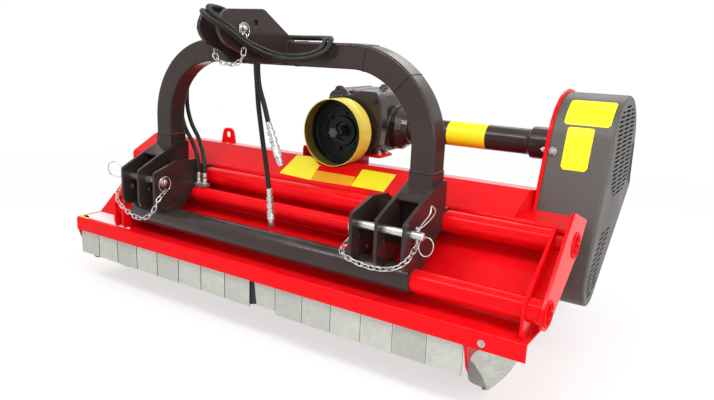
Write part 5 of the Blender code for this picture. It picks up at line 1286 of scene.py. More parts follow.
class MOWER_OT_hitch(MowerOperator, bpy.types.Operator):
    """Bend the hitch arch and dress its brackets, sleeves and side-shift cylinder"""
    bl_idname = "mower.hitch"
    bl_label = "Hitch"

    def make(self, look, sizes, stage):
        self.arch()
        for node in ("top_link_plate_left", "top_link_plate_right"):
            hand_over(dressed(node, "frame_paint", sizes.edge * 1.3), "hitch", "dark_paint", node)
        for node in ("lower_bracket_left", "lower_bracket_right"):
            hand_over(dressed(node, "frame_paint", sizes.edge * 1.1), "hitch", "dark_paint", node)
        for name, tube, lo, hi in (("lower_sleeve", LOW_TUBE, -REACH, REACH),
                                   ("upper_sleeve_right", TOP_TUBE, PLATE_A, REACH),
                                   ("upper_sleeve_left", TOP_TUBE, -REACH, -PLATE_A)):
            bm = bmesh.new()
            a, b = HITCH_X + lo, HITCH_X + hi
            inner = TUBE_R + 0.0008
            profile = [(a, inner), (a, SLEEVE_R), (b, SLEEVE_R), (b, inner)]
            lathe(bm, eased(profile, 0.0012, 45), "X", *tube, 72)
            hand_over(piece(name + "_turned", bm, ["frame_paint"]), "hitch", "dark_paint", name)
        self.cylinder()
        self.weld_lines(sizes.bead)

    def arch(self):
        """Square tube bent round two corners, from one lower bracket to the other."""
        half = LEG / 2
        xr, xl = HITCH_X + LEG_X, HITCH_X - LEG_X
        cz = ARCH_TOP - half - ARCH_R
        line = ([(xr, LEG_SEAM_Z), (xr, cz)] + arc(xr - ARCH_R, cz, ARCH_R, 0, 90, 26)[1:]
                + arc(xl + ARCH_R, cz, ARCH_R, 90, 180, 26) + [(xl, LEG_SEAM_Z)])
        section = eased([(-half, -half), (half, -half), (half, half), (-half, half)], LEG_CORNER, 18)
        bm = bmesh.new()
        rings = []
        n = len(line)
        y = ARCH_Y + half
        for i, p in enumerate(line):
            a, b = Vector(line[max(0, i - 1)]), Vector(line[min(n - 1, i + 1)])
            t = (b - a).normalized()
            out = Vector((t.y, -t.x))
            rings.append([bm.verts.new((p[0] + out.x * u, y + v, p[1] + out.y * u)) for u, v in section])
        skin(bm, rings)
        hand_over(piece("hitch_arch_bent", bm, ["frame_paint"], 50, weighted=True), "hitch", "dark_paint",
                  "hitch_arch")

    def cylinder(self):
        """Side-shift cylinder: barrel with feed pipe and ports, and the rod that stays with the deck."""
        a, b = HITCH_X - PLATE_A + SEAT_GAP, HITCH_X + PLATE_A - SEAT_GAP
        neck = CYL_R - 0.002
        bm = bmesh.new()
        profile = [(a, ROD_R + 0.0006), (a, CYL_R - 0.003), (a + 0.004, CYL_R), (a + 0.030, CYL_R),
                   (a + 0.032, neck), (b - 0.021, neck), (b - 0.019, CYL_R), (b - 0.002, CYL_R), (b, neck),
                   (b, 0.001), (b - 0.002, 0.0006), (a + 0.36, 0.0006), (a + 0.36, ROD_R + 0.0006)]
        lathe(bm, profile, "X", *CYL, 48)
        low = CYL[1] - CYL_R
        pipe = [(a + 0.020, 0.008), (a + 0.0205, 0.0), (a + 0.023, -0.0035), (a + 0.028, -0.0045),
                (b - 0.022, -0.0045), (b - 0.017, -0.0035), (b - 0.0145, 0.0), (b - 0.014, 0.008)]
        tube_along(bm, [(x, CYL[0], low + rise) for x, rise in pipe], 0.0045, 14)
        hand_over(piece("cylinder_barrel_turned", bm, ["red_paint"]), "hitch", "red_paint", "cylinder_barrel")
        hand_over(dressed("cylinder_port", "bolt_zinc", 0.0010, 2), "hitch", "zinc", "cylinder_port")
        bm = bmesh.new()
        wall = END_L_IN_X
        tip = a + 0.320
        profile = [(wall - 0.018, 0), (wall - 0.018, ROD_R + 0.005), (wall - 0.0172, ROD_R + 0.006),
                   (wall - SEAT_GAP, ROD_R + 0.006), (wall - SEAT_GAP, ROD_R), (tip - 0.001, ROD_R),
                   (tip, ROD_R - 0.001), (tip, 0)]
        lathe(bm, profile, "X", *CYL, 40)
        hand_over(piece("cylinder_rod_turned", bm, ["chrome_rod"]), "deck", "zinc", "cylinder_rod")

    def weld_lines(self, bead):
        """Beads round the legs and sleeves and at the link plates, and the dark seams across the arch."""
        half = LEG / 2
        y0, y1 = ARCH_Y, ARCH_Y + LEG
        lines = []
        foot = eased([(-half, y0), (half, y0), (half, y1), (-half, y1)], LEG_CORNER, 30)
        foot.append(foot[0])
        for side in (1, -1):
            x = HITCH_X + side * LEG_X
            lines.append([(x + u, v, LEG_SEAM_Z - 0.0008) for u, v in foot])
            for at in (PLATE_A, PLATE_B, PLATE_C):
                for tube, a0, a1 in ((LOW_TUBE, 20, 122), (TOP_TUBE, 118, 205)):
                    for edge in (at, at + PLATE_T):
                        inside = edge == PLATE_A and tube == TOP_TUBE
                        if not inside and edge != REACH:
                            x = HITCH_X + side * edge
                            lines.append(seam("X", x, *tube, SLEEVE_R + 0.0012, 20, a0, a1))
        welds("hitch_welds", "hitch", "dark_paint", "frame_paint", lines, bead)
        corner = ((-0.3335, 0.843), (-0.3338, 0.870), (-0.3338, 0.902), (-0.320, 0.9062), (-0.297, 0.9062))
        lines = [[(HITCH_X + side * LINK_OUT, y, z) for y, z in corner] for side in (1, -1)]
        welds("link_welds", "hitch", "dark_paint", "frame_paint", lines, bead)
        section = eased([(y0, half), (y1, half), (y1, -half), (y0, -half)], LEG_CORNER, 30)
        section.append(section[0])
        mid = ARCH_TOP - half
        lines = [[(x, u, mid + v) for u, v in section] for x in (0.057, -0.150)]
        for side, turn in ((1, 11.0), (-1, 2.0), (1, 44.0), (-1, 44.0)):
            cx, a = HITCH_X + side * (LEG_X - ARCH_R), math.radians(turn)
            lines.append([(cx + side * (ARCH_R + v) * math.sin(a), u,
                           mid - ARCH_R + (ARCH_R + v) * math.cos(a)) for u, v in section])
        welds("arch_welds", "hitch", "dark_paint", "guard_black", lines, bead * 0.5)


class MOWER_OT_pins(MowerOperator, bpy.types.Operator):
    """Turn the hitch pins and make their linch pins, split rings and chains"""
    bl_idname = "mower.pins"
    bl_label = "Pins and Chains"

    def make(self, look, sizes, stage):
        for tag, inner, outer, side, (y, z) in (
                ("right", HITCH_X + PLATE_A - SEAT_GAP, HITCH_X + REACH, 1, PIN),
                ("left", HITCH_X - PLATE_A + SEAT_GAP, HITCH_X - REACH, -1, PIN),
                ("top", HITCH_X + LINK_OUT + SEAT_GAP, HITCH_X - LINK_OUT, -1, TOP_PIN)):
            hole = outer + side * 0.014
            name = "top_link_pin" if tag == "top" else "lower_link_pin_" + tag
            bm = bmesh.new()
            knob = [(-0.014, 0), (-0.014, 0.0055), (-0.0132, 0.0064), (-0.0105, 0.0080), (-0.0042, 0.0080),
                    (-0.0036, 0.0086), (-0.0035, 0.0144), (-0.0029, 0.0150), (-0.0006, 0.0150), (0, 0.0144),
                    (0, PIN_R)]
            end = [(0.0295, PIN_R), (0.0310, 0.0104), (0.0338, 0.0074), (0.034, 0.0070), (0.034, 0)]
            profile = [(inner + side * x, r) for x, r in knob] + [(outer + side * x, r) for x, r in end]
            lathe(bm, profile, "X", y, z, 48)
            hand_over(piece(name + "_turned", bm, ["zinc"]), "hitch", "zinc", name)
            self.linch(tag, hole, y, z, side)
            self.chain(tag, inner - side * 0.0075, hole, y, z, sizes)

    def linch(self, tag, x, y, z, side):
        """Linch pin through the hole at x, with its wire loop turned as in the photograph."""
        seat = z + PIN_R + SEAT_GAP
        bm = bmesh.new()
        profile = [(z - 0.026, 0), (z - 0.0258, 0.0018), (z - 0.021, 0.0042), (seat, 0.0042),
                   (seat, 0.0070), (seat + 0.0006, 0.0076), (seat + 0.009, 0.0076), (seat + 0.0115, 0.0058),
                   (seat + 0.012, 0.0045), (seat + 0.012, 0)]
        lathe(bm, profile, "Z", x, y, 28)
        mid = z + PIN_R + 0.006
        half = {"right": ((0.006, 0.012, 0.004), (0.024, 0.019, 0.026), (0.038, 0.015, 0.050),
                          (0.034, 0.0, 0.066)),
                "left": ((0.012, 0.012, 0.010), (0.040, 0.020, 0.026), (0.074, 0.020, 0.010),
                         (0.094, 0.0, -0.026)),
                "top": ((0.003, 0.010, 0.006), (0.007, 0.013, 0.022), (0.010, 0.009, 0.040),
                        (0.010, 0.0, 0.046))}[tag]
        go = [(x + side * a, y - b, mid + c) for a, b, c in half]
        drop = 0.050 if tag == "left" else 0.0
        back = [(p[0], 2 * y - p[1], p[2] - drop) for p in go[-2::-1]]
        loop = [(x, y - 0.0055, mid)] + go + back + [(x, y + 0.0055, mid - drop * 0.2)]
        tube_along(bm, catmull(loop, 0.002), 0.0016, 12)
        if tag == "right":
            ring = [(x + 0.026 + 0.020 * math.cos(a), y + 0.006 * math.sin(a),
                     z - 0.024 + 0.023 * math.sin(a))
                    for a in round_angles(36)]
            tube_along(bm, ring, 0.0013, 10, closed=True)
        hand_over(piece("linch_pin_" + tag, bm, ["zinc"]), "hitch", "zinc", "linch_pin_chain_" + tag)

    def chain(self, tag, knob, hole, y, z, sizes):
        """Split ring on the neck of the pin, a small ring under the linch pin and the chain between them."""
        ring_r = 0.020 if tag == "top" else 0.025
        drop, steps, small_r = 0.006, 72, 0.0042
        bm = bmesh.new()
        split = []
        for k in range(steps):
            a = 4 * math.pi * k / steps
            split.append((knob + 0.0006 * (k / 36 - 1), y + ring_r * math.cos(a),
                          z - drop + ring_r * math.sin(a)))
        tube_along(bm, split, 0.0012, 8)
        small = [(hole, y + small_r * math.cos(a), z - 0.0245 + small_r * math.sin(a))
                 for a in round_angles(20)]
        tube_along(bm, small, 0.0009, 8, closed=True)
        hand_over(piece("chain_rings_" + tag, bm, ["zinc"]), "hitch", "zinc")
        sag = [(hole + dx, y + dy, z + dz) for dx, dy, dz in CHAINS[tag]]
        points = [(knob, y, z - drop - ring_r)] + sag + [(hole, y, z - 0.026)]
        ob = line_object("chain_" + tag, [catmull(points, 0.003)])
        ob = run_tree(ob, "chain links", Pitch=sizes.pitch, Link_Length=sizes.pitch + sizes.wire * 2.2,
                      Link_Width=0.0125, Wire=sizes.wire, Material=MATS["zinc"])
        hand_over(ob, "hitch", "zinc")


class MOWER_OT_gearbox(MowerOperator, bpy.types.Operator):
    """Cast the gearbox, and make its mount, shaft guard, splined stub and drive tube"""
    bl_idname = "mower.gearbox"
    bl_label = "Gearbox and Drive"

    def make(self, look, sizes, stage):
        self.housing()
        self.mount(sizes)
        self.guard()
        self.stub()
        self.tube()
        flange = [(-0.052, 0.556), (0.130, 0.556), (0.150, 0.640), (0.148, 0.720), (0.030, 0.724),
                  (-0.048, 0.690)]
        spots = [((x, -0.012, z), (0, -1, 0)) for x, z in flange]
        bolts("gearbox_bolts", "deck", "dark_paint", "cast_paint", spots, 0.013, 0.008, 0.0115)
        spots = [((x, y, MOUNT_Z), (0, 0, 1), 0.9) for x in (-0.112, 0.148) for y in (0.030, 0.080)]
        bolts("mount_bolts", "deck", "zinc", "bolt_zinc", spots)

    def mount(self, sizes):
        """Short table under the front of the gearbox, on two legs that stand on the deck."""
        bm = bmesh.new()
        table = eased([(-0.154, 0.0), (0.168, 0.0), (0.168, 0.085), (0.120, 0.110), (-0.120, 0.110),
                       (-0.154, 0.085)], 0.008)
        plate(bm, table, [], "Z", MOUNT_Z - 0.008, MOUNT_Z)
        for x in (-0.154, 0.056):
            foot = [(0.002, 0.5025), (0.108, 0.4825), (0.108, MOUNT_Z - 0.0078), (0.002, MOUNT_Z - 0.0078)]
            plate(bm, foot, [], "X", x, x + 0.007)
        ob = break_edges(piece("gearbox_mount_cut", bm, ["red_paint"]), sizes.edge * 0.8)
        ob.data.set_sharp_from_angle(angle=math.radians(48))
        hand_over(ob, "deck", "red_paint", "gearbox_mount")

    def housing(self):
        """Gearbox with three ribs on its top, all grown together like a casting."""
        bm = merged("gearbox_housing")
        rib = [(0.030, 0.742), (0.262, 0.742), (0.262, 0.7485), (0.040, 0.7485)]
        rib = [(y + SHIFT.y, z) for y, z in rib]
        for x in (0.086, 0.020, -0.046):
            plate(bm, rib, [], "X", x + SHIFT.x, x + 0.014 + SHIFT.x)
        ob = add_mesh("gearbox_cast", bm, ["cast_paint"])
        knit = ob.modifiers.new("casting", "REMESH")
        knit.mode = "VOXEL"
        knit.voxel_size = 0.0026
        knit.use_smooth_shade = True
        soft = ob.modifiers.new("soften", "SMOOTH")
        soft.iterations = 4
        soft.factor = 0.6
        settle(ob)
        hand_over(ob, "deck", "gearbox", "gearbox_housing")

    def guard(self):
        """Moulded shaft guard, open to the front, with a seal and bolts on its floor."""
        front, back = GUARD_FRONT_Y, GUARD_BACK_Y
        hole, inside = 0.0245, GUARD_R - WALL
        outer = [(front + 0.0012, GUARD_R), (back - 0.004, GUARD_R), (back, GUARD_R - 0.004), (back, 0.088),
                 (back + WALL, 0.087), (back + WALL, hole)]
        dark = [(back, hole), (back, 0.084), (back - WALL, 0.0865), (back - WALL, GUARD_R - 0.008),
                (back - WALL - 0.005, inside - 0.001)]
        mouth = [(front + 0.045, inside), (front + 0.012, inside), (front + 0.0015, inside + 0.0004),
                 (front, GUARD_R - 0.0022), (front, GUARD_R - 0.0008)]
        # The band just inside the mouth takes the darker guard material: painted shade, as the inside of the
        # guard lies in shadow.
        mats = [0] * len(outer) + [1] * len(dark) + [2, 2, 0, 0, 0]
        bm = bmesh.new()
        lathe(bm, outer + dark + mouth, "Y", *INPUT, 96, mats=mats)
        finishes = ["guard_yellow", "guard_black", "guard_painted_shade"]
        hand_over(piece("pto_guard_moulded", bm, finishes, 35), "deck", "guard", "pto_guard")
        bm = bmesh.new()
        seal = [(back - 0.0005, 0.030), (back - 0.0005, 0.052), (back - 0.010, 0.050), (back - 0.010, 0.030)]
        lathe(bm, eased(seal, 0.0015), "Y", *INPUT, 64)
        for r, w in ((0.070, 0.003), (0.096, 0.002)):
            ring = [(back - 0.0025, r - w), (back - 0.0025, r + w), (back - 0.0055, r + w),
                    (back - 0.0055, r - w)]
            lathe(bm, eased(ring, 0.0008), "Y", *INPUT, 64)
        hand_over(piece("guard_seal", bm, ["guard_black"]), "deck", "guard")
        spots = [(place("Y", back - 0.001, *p), (0, -1, 0)) for p in arc(*INPUT, 0.062, 20, 320, 5)]
        bolts("guard_bolts", "deck", "dark_paint", "guard_black", spots, 0.011, 0.006, 0.010)

    def stub(self):
        """Splined input stub with the groove that a shaft's lock drops into."""
        low = 0.0145
        x, z = INPUT
        out = []
        for k in range(6):
            for turn, r in ((-18, low), (-14, SHAFT_R), (0, SHAFT_R), (14, SHAFT_R), (18, low), (30, low)):
                t = math.radians(60 * k + turn)
                out.append((x + r * math.cos(t), z + r * math.sin(t)))
        bm = bmesh.new()
        root = GUARD_BACK_Y - 0.012
        stations = [(0.008, 0.80), (0.010, 1.0), (0.026, 1.0), (0.028, 0.84), (0.034, 0.84), (0.036, 1.0)]
        stations = [(GUARD_FRONT_Y + y, k) for y, k in stations] + [(root, 1.0)]
        skin(bm, [[bm.verts.new((x + (u - x) * k, y, z + (v - z) * k)) for u, v in out] for y, k in stations])
        lathe(bm, [(root, 0), (root, SHAFT_R), (0.009, SHAFT_R), (0.009, 0)], "Y", *INPUT, 40)
        tip = GUARD_FRONT_Y + 0.0078
        lathe(bm, [(tip, 0.0), (tip, 0.0035), (GUARD_FRONT_Y + 0.013, 0.0)], "Y", *INPUT, 20)
        hand_over(piece("pto_stub_splined", bm, ["shaft_steel"], 30), "input", "steel", "pto_shaft")

    def tube(self):
        """Tube round the drive shaft, with its flanged sleeve at the casing and a plain band."""
        bm = bmesh.new()
        end = SIDE_RIGHT_X
        profile = [(0.2003, 0.0365), (0.2003, 0.0415), (0.213, 0.0415), (0.214, 0.0405), (0.600, 0.0405),
                   (0.611, 0.0408), (0.615, 0.0430), (0.619, 0.0492), (0.622, 0.0500), (0.700, 0.0500),
                   (end, 0.0500), (end, 0.0365)]
        lathe(bm, profile, "X", *DRIVE, 80)
        hand_over(piece("drive_tube_turned", bm, ["frame_paint"], 45), "deck", "dark_paint",
                  "drive_shaft_tube")
        bm = bmesh.new()
        lathe(bm, [(0.341, 0.0406), (0.341, 0.0410), (0.474, 0.0410), (0.474, 0.0406)], "X", *DRIVE, 80)
        hand_over(piece("drive_tube_band", bm, ["plate_yellow"], 45), "deck", "dark_paint")
        lines = [seam("X", 0.7035, *DRIVE, 0.0515, 60, 0, 354), seam("X", 0.2015, *DRIVE, 0.0425, 50, 0, 353)]
        welds("drive_welds", "deck", "dark_paint", "frame_paint", lines, 0.003)
        recoat("drive_shaft", "shaft_steel")


class MOWER_OT_casing(MowerOperator, bpy.types.Operator):
    """Press the vented belt cover and dress its backplate, pulleys and belt"""
    bl_idname = "mower.casing"
    bl_label = "Belt Casing"

    def outline(self, grow=0.0, n=96):
        """Side view of the casing: a band round the two pulleys and the tail."""
        return hull(circle(*DRIVE, CASE_R + grow, n) + circle(*ROTOR, CASE_LOW_R + grow, n)
                    + circle(CASE_TAIL[0], CASE_TAIL[1], CASE_TAIL[2] + grow, 48))

    def front_of(self, outline, z):
        """Foremost place where an outline passes height z."""
        sides = [(a, b) for a, b in zip(outline, outline[1:] + outline[:1]) if (a[1] - z) * (b[1] - z) <= 0]
        return min(a[0] + (b[0] - a[0]) * (z - a[1]) / (b[1] - a[1]) for a, b in sides if a[1] != b[1])

    def vents(self):
        """Front, rear and height of each slot, in rows over both pulleys."""
        out = []
        for k in range(-10, 11):
            z = DRIVE[1] + 0.004 + k * VENT_PITCH
            reach = math.sqrt(max(0.0, (CASE_R - 0.024) ** 2 - (z - DRIVE[1]) ** 2))
            for c in (-1, 0, 1):
                y0 = DRIVE[0] + c * VENT_STEP - VENT_L / 2
                y1 = y0 + VENT_L
                y0, y1 = max(y0, DRIVE[0] - reach), min(y1, DRIVE[0] + reach)
                if y1 - y0 > 0.024:
                    out.append((y0, y1, z))
        inner = self.outline(-0.016, 24)
        for k in range(14):
            z = ROTOR[1] - 0.040 + k * VENT_PITCH
            left = self.front_of(inner, z)
            right = -self.front_of([(-p[0], p[1]) for p in inner], z)
            if k > 5:
                left += (k - 5) * 0.008
            for y0, y1 in ((left + 0.004, min(left + 0.052, right)),
                           (left + 0.062, min(left + 0.110, right))):
                if y1 - y0 > 0.020:
                    out.append((y0, y1, z))
        return out

    def make(self, look, sizes, stage):
        base = self.outline()
        bm = bmesh.new()
        self.rim(bm, base, sizes.cover_round)
        self.face(bm, base, sizes.cover_round)
        cover = piece("belt_cover_pressed", bm, ["cover_paint"], 38, weighted=True)
        hand_over(cover, "deck", "cover_paint", "belt_cover")
        hand_over(dressed("belt_backplate", "red_paint", 0.0035, 4), "deck", "red_paint", "belt_backplate")
        self.plates()
        self.inside()
        high = 0.622
        edge = self.front_of(self.outline(), high)
        front = [((0.7290, edge - SEAT_GAP, high), (-0.2, -1, 0))]
        bolts("cover_bolts", "deck", "zinc", "bolt_zinc", front, 0.013, 0.009, 0.013, 0.0025, 0.008)
        rear = ((0.012, 0.622), (0.110, 0.715), (0.235, 0.712), (0.262, 0.560), (0.060, 0.545))
        spots = [((SIDE_RIGHT_X + SEAT_GAP, y, z), (-1, 0, 0)) for y, z in rear]
        bolts("backplate_bolts", "deck", "zinc", "bolt_zinc", spots)

    def rim(self, bm, base, r):
        """Wall of the cover with its pressed round, outside and inside."""
        outside = [(COVER_IN_X, 0.0)]
        for turn in range(0, 91, 15):
            a = math.radians(turn)
            outside.append((COVER_X - r + r * math.sin(a), -(r - r * math.cos(a))))
        inside = [(COVER_X - WALL, -r)]
        for turn in range(0, 91, 18):
            a = math.radians(turn)
            inside.append((COVER_X - r + (r - WALL) * math.cos(a), -WALL - (r - WALL) * (1 - math.sin(a))))
        inside.append((COVER_IN_X, -WALL))
        loops = []
        for x, grow in outside + inside:
            line = offset(base, -grow) if grow else base
            loops.append([bm.verts.new((x, *p)) for p in line])
        n = len(base)
        for a, b in zip(loops, loops[1:] + loops[:1]):
            if a is not loops[len(outside) - 1]:
                for k in range(n):
                    bm.faces.new((a[k], a[(k + 1) % n], b[(k + 1) % n], b[k]))

    def face(self, bm, base, r):
        """Flat face of the cover with its slots, left open where the pressed round joins it."""
        edge = offset(base, r)
        slots = [eased([(y0, z), (y1, z), (y1, z + VENT_H), (y0, z + VENT_H)], 0.0026, 30)
                 for y0, y1, z in self.vents()]
        flat = bmesh.new()
        plate(flat, edge, slots, "X", COVER_X - WALL, COVER_X)

        def from_edge(p):
            return min((Vector(q) - Vector(p[1:])).length for q in edge)

        upright = [f for f in flat.faces if abs(f.calc_center_median().x - (COVER_X - WALL / 2)) < WALL * 0.2]
        side = [f for f in upright if from_edge(f.calc_center_median()) < 0.0075
                and max(from_edge(v.co) for v in f.verts) < 1e-5]
        bmesh.ops.delete(flat, geom=side, context="FACES")
        mesh = bpy.data.meshes.new("cover_face")
        flat.to_mesh(mesh)
        flat.free()
        bm.from_mesh(mesh)
        bpy.data.meshes.remove(mesh)

    def band(self, a0, a1, low, lift):
        """Points down the front of the cover from angle a0 to a1, then along its straight wall to low."""
        pts = arc(*DRIVE, CASE_R + lift, a0, a1, 14)
        if low:
            y, z = pts[-1]
            dy, dz = -math.sin(math.radians(a1)), math.cos(math.radians(a1))
            length = (low - z) / dz
            pts += [(y + dy * length * k / 10, z + dz * length * k / 10) for k in range(1, 11)]
        return pts

    def plates(self):
        """Two plain plates with round corners, bent round the front of the cover."""
        corner, m = 0.007, 12
        for name, x0, x1, a0, a1, low in (("cover_plate_wide", 0.742, 0.867, 117, 150, None),
                                          ("cover_plate_tall", 0.757, 0.829, 152.3, 162.5, 0.577)):
            bm = bmesh.new()
            rows = {}
            for side, lift in ((0, 0.0002), (1, 0.0006)):
                line = self.band(a0, a1, low, lift)
                gone = [0.0]
                for p, q in zip(line, line[1:]):
                    gone.append(gone[-1] + math.dist(p, q))
                for i, (y, z) in enumerate(line):
                    run = min(gone[i], gone[-1] - gone[i], corner)
                    pinch = corner - math.sqrt(corner ** 2 - (corner - run) ** 2)
                    for j in range(m + 1):
                        rows[side, i, j] = bm.verts.new((x0 + pinch + (x1 - x0 - 2 * pinch) * j / m, y, z))
            n = len(line) - 1
            for i in range(n):
                for j in range(m):
                    for s in (0, 1):
                        bm.faces.new([rows[s, i, j], rows[s, i + 1, j], rows[s, i + 1, j + 1],
                                      rows[s, i, j + 1]])
            rim = [(i, 0) for i in range(n)] + [(n, j) for j in range(m)]
            rim += [(i, m) for i in range(n, 0, -1)] + [(0, j) for j in range(m, 0, -1)]
            for p, q in zip(rim, rim[1:] + rim[:1]):
                bm.faces.new([rows[0, *p], rows[0, *q], rows[1, *q], rows[1, *p]])
            hand_over(piece(name, bm, ["plate_yellow"]), "deck", "cover_paint")

    def inside(self):
        """Pulleys, belt and bearings behind the cover."""
        for node in ("upper_pulley", "lower_pulley"):
            hand_over(dressed(node, "hammer_steel", 0.0, smooth=35), body_of(node), "cast", node)
        hand_over(dressed("drive_belt", "belt_rubber", 0.0, smooth=50), "deck", "belt", "drive_belt")
        for node in ("rotor_bearing_right", "drive_bearing"):
            hand_over(dressed(node, "hammer_steel", 0.0008, smooth=35), "deck", "cast", node)


class MOWER_OT_rotor(MowerOperator, bpy.types.Operator):
    """Dress the rotor, its swinging hammers and the left bearing"""
    bl_idname = "mower.rotor"
    bl_label = "Rotor and Hammers"

    def make(self, look, sizes, stage):
        hand_over(dressed("rotor_tube", "red_paint", 0.0008, 1, smooth=35), "rotor", "red_paint",
                  "rotor_tube")
        for k in range(1, 5):
            node = "hammer_row_%d" % k
            hand_over(dressed(node, "hammer_steel", 0.0014, 2, smooth=45), "hammers_%d" % k, "steel", node)
        bm = bmesh.new()
        seat = SIDE_LEFT_X - SEAT_GAP
        bore = 0.0256
        profile = [(0, bore), (0, 0.062), (0.009, 0.062), (0.010, 0.061), (0.0115, 0.046), (0.014, 0.0435),
                   (0.031, 0.042), (0.032, 0.0405), (0.032, bore)]
        lathe(bm, [(seat - x, r) for x, r in profile], "X", *ROTOR, 64)
        hand_over(piece("rotor_bearing_left_turned", bm, ["cast_paint"]), "deck", "cast",
                  "rotor_bearing_left")
        spots = [(place("X", seat - 0.0100, *p), (-1, 0, 0), 0.8) for p in arc(*ROTOR, 0.0535, 45, 315, 3)]
        bolts("bearing_bolts", "deck", "zinc", "bolt_zinc", spots, 0.013, 0.008, 0.0105)


class MOWER_OT_flaps(MowerOperator, bpy.types.Operator):
    """Roll and hang the front flaps"""
    bl_idname = "mower.flaps"
    bl_label = "Front Flaps"

    def profile(self, low, sizes):
        """Side view of a strip: its lower edge first, up the back, through the curl and down the front."""
        y, z = FLAP_AXIS
        t = sizes.flap
        front = y + FLAP_FRONT
        lower = [(front, low + FLAP_EASE), (front + FLAP_EASE, low), (front + t - FLAP_EASE, low),
                 (front + t, low + FLAP_EASE)]
        start = math.degrees(math.acos(FLAP_FRONT / sizes.curl)) + 6
        outer = arc(y, z, sizes.curl, start, -120, 26)
        outer = [(front, z + 0.004)] + [p for p in outer if p[0] > front + 0.0001]
        inner = arc(y, z, sizes.curl - t, -114, 165, 24)
        inner = [p for p in inner if p[0] > front + t * 0.55 or p[1] > z] + [(front + t, z - 0.006)]
        return lower + inner[::-1] + outer[::-1] + [(front, z - 0.006)]

    def strip(self, name, width, low, cut, sizes):
        """One strip whose cut ends are black, painted shade for the slits between strips; cut shortens its
        lower edge at the left.
        """
        bm = bmesh.new()
        rows = []
        for x in (0.0, FLAP_EASE, width - FLAP_EASE, width):
            ease = 0.0003 if x in (0.0, width) else 0.0
            row = []
            for k, (y, z) in enumerate(self.profile(low, sizes)):
                across = x + cut if k < 4 and x < width / 2 else x
                row.append(bm.verts.new((across, y + (ease if k < 2 else 0.0), z)))
            rows.append(row)
        n = len(rows[0])
        for a, b in zip(rows, rows[1:]):
            for k in range(n):
                bm.faces.new((a[k], a[(k + 1) % n], b[(k + 1) % n], b[k]))
        # The cut ends take the black finish: painted shade for the dark slits between strips.
        for row in (rows[0], rows[-1]):
            edges = [bm.edges.get((row[k], row[(k + 1) % n])) for k in range(n)]
            ends = bmesh.ops.triangle_fill(bm, use_beauty=True, use_dissolve=False, edges=edges)["geom"]
            for f in ends:
                if isinstance(f, bmesh.types.BMFace):
                    f.material_index = 1
        return piece(name, bm, ["galvanised", "guard_black"], 35)

    def bank(self, name, ends, count, low, cut, seed, sizes):
        """Row of like strips between two places along the rod."""
        slit = 0.0030
        pitch = (ends[1] - ends[0]) / count
        ob = self.strip(name, pitch - slit, low, cut, sizes)
        for v in ob.data.vertices:
            v.co.x += ends[0]
        ob = run_tree(ob, "flap strips", Count=count, Pitch=pitch, Seed=seed, Material=MATS["galvanised"])
        ob.data.set_sharp_from_angle(angle=math.radians(35))
        return ob

    def make(self, look, sizes, stage):
        left = self.bank("front_flaps_left_rolled", LEFT_BANK, LEFT_FLAPS, FLAP_LOW, 0.0, 4, sizes)
        hand_over(left, "flaps_left", "galvanised", "front_flaps_left")
        middle = self.bank("front_flap_middle_rolled", MID_FLAP, 1, FLAP_LOW + 0.012, 0.012, 9, sizes)
        hand_over(middle, "flap_middle", "galvanised", "front_flap_middle")
        # Black plate behind the narrow middle flap: painted shade, so the gap shows dark like the space under
        # the deck.
        bm = bmesh.new()
        back = FLAP_AXIS[0] + FLAP_FRONT + sizes.flap + 0.0006
        strip = eased([(-0.0125, FLAP_LOW + 0.004), (0.030, FLAP_LOW + 0.016), (0.030, 0.210),
                       (-0.0125, 0.210)], 0.002)
        plate(bm, strip, [], "Y", back, back + 0.004)
        hand_over(piece("flap_gap_painted_shade", bm, ["belt_rubber"]), "flap_middle", "galvanised")
        right = self.bank("front_flaps_right_rolled", RIGHT_BANK, RIGHT_FLAPS, FLAP_LOW, 0.0, 7, sizes)
        hand_over(right, "flaps_right", "galvanised", "front_flaps_right")


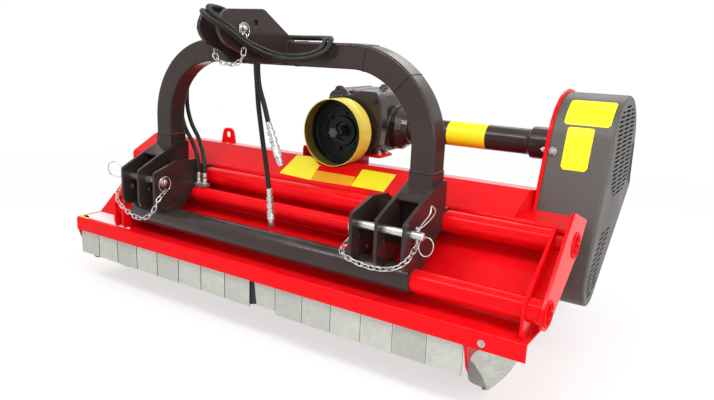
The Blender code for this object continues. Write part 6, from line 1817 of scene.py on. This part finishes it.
class MOWER_OT_rear(MowerOperator, bpy.types.Operator):
    """Dress the rear hood, the roller and its arms"""
    bl_idname = "mower.rear"
    bl_label = "Rear Hood and Roller"

    def make(self, look, sizes, stage):
        for node in ("roller_arm_left", "roller_arm_right"):
            hand_over(dressed(node, "red_paint", sizes.edge), "deck", "red_paint", node)
        hand_over(dressed("rear_hood", "red_paint", 0.0007, 1, 40.0), "hood", "red_paint", "rear_hood")
        lo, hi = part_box("rear_roller")
        axle = 0.0135
        x0, x1 = lo.x + axle - SHIFT.x, hi.x - axle - SHIFT.x
        end = [(-axle, 0), (-axle, 0.0125), (0, 0.0125), (0, 0.030), (0.004, 0.034), (0.004, 0.066),
               (0, 0.071), (0, 0.074), (0.001, 0.075)]
        bm = bmesh.new()
        lathe(bm, [(x0 + x, r) for x, r in end] + [(x1 - x, r) for x, r in end[::-1]], "X", *ROLLER, 80)
        hand_over(piece("rear_roller_turned", bm, ["frame_paint"]), "roller", "dark_paint", "rear_roller")
        arms = []
        for side, x in ((-1, SIDE_LEFT_X), (1, SIDE_RIGHT_X)):
            arms += [((x + side * 0.0002, y, z), (side, 0, 0)) for y, z in ((0.225, 0.090), (0.265, 0.130))]
        bolts("arm_bolts", "deck", "zinc", "bolt_zinc", arms)


GROUPS = (MowerLook, MowerSizes, MowerStage)
OPERATORS = (MOWER_OT_finishes, MOWER_OT_stage, MOWER_OT_hoses, MOWER_OT_deck, MOWER_OT_guides,
             MOWER_OT_hitch, MOWER_OT_pins, MOWER_OT_gearbox, MOWER_OT_casing, MOWER_OT_rotor,
             MOWER_OT_flaps, MOWER_OT_rear)


class MOWER_PT_panel(bpy.types.Panel):
    """Buttons and values of the mower"""
    bl_idname = "MOWER_PT_panel"
    bl_label = "Hammer Knife Mower"
    bl_space_type = "VIEW_3D"
    bl_region_type = "UI"
    bl_category = "Mower"

    def draw(self, context):
        scene = context.scene
        groups = (("Finishes", scene.mower_look), ("Sizes", scene.mower_sizes), ("Stage", scene.mower_stage))
        for title, group in groups:
            box = self.layout.box()
            box.label(text=title)
            for key in group.__annotations__:
                box.prop(group, key)
        column = self.layout.column(align=True)
        for cls in OPERATORS:
            column.operator(cls.bl_idname)


CLASSES = (*GROUPS, *OPERATORS, MOWER_PT_panel)


def register():
    for cls in CLASSES:
        bpy.utils.register_class(cls)
    bpy.types.Scene.mower_look = bpy.props.PointerProperty(type=MowerLook)
    bpy.types.Scene.mower_sizes = bpy.props.PointerProperty(type=MowerSizes)
    bpy.types.Scene.mower_stage = bpy.props.PointerProperty(type=MowerStage)


def unregister():
    del bpy.types.Scene.mower_stage
    del bpy.types.Scene.mower_sizes
    del bpy.types.Scene.mower_look
    for cls in reversed(CLASSES):
        bpy.utils.unregister_class(cls)


def main():
    register()
    bpy.ops.mower.finishes()
    bpy.ops.mower.stage()
    bpy.ops.mower.hoses()
    bpy.ops.mower.deck()
    bpy.ops.mower.guides()
    bpy.ops.mower.hitch()
    bpy.ops.mower.pins()
    bpy.ops.mower.gearbox()
    bpy.ops.mower.casing()
    bpy.ops.mower.rotor()
    bpy.ops.mower.flaps()
    bpy.ops.mower.rear()


if __name__ == "__main__":
    main()
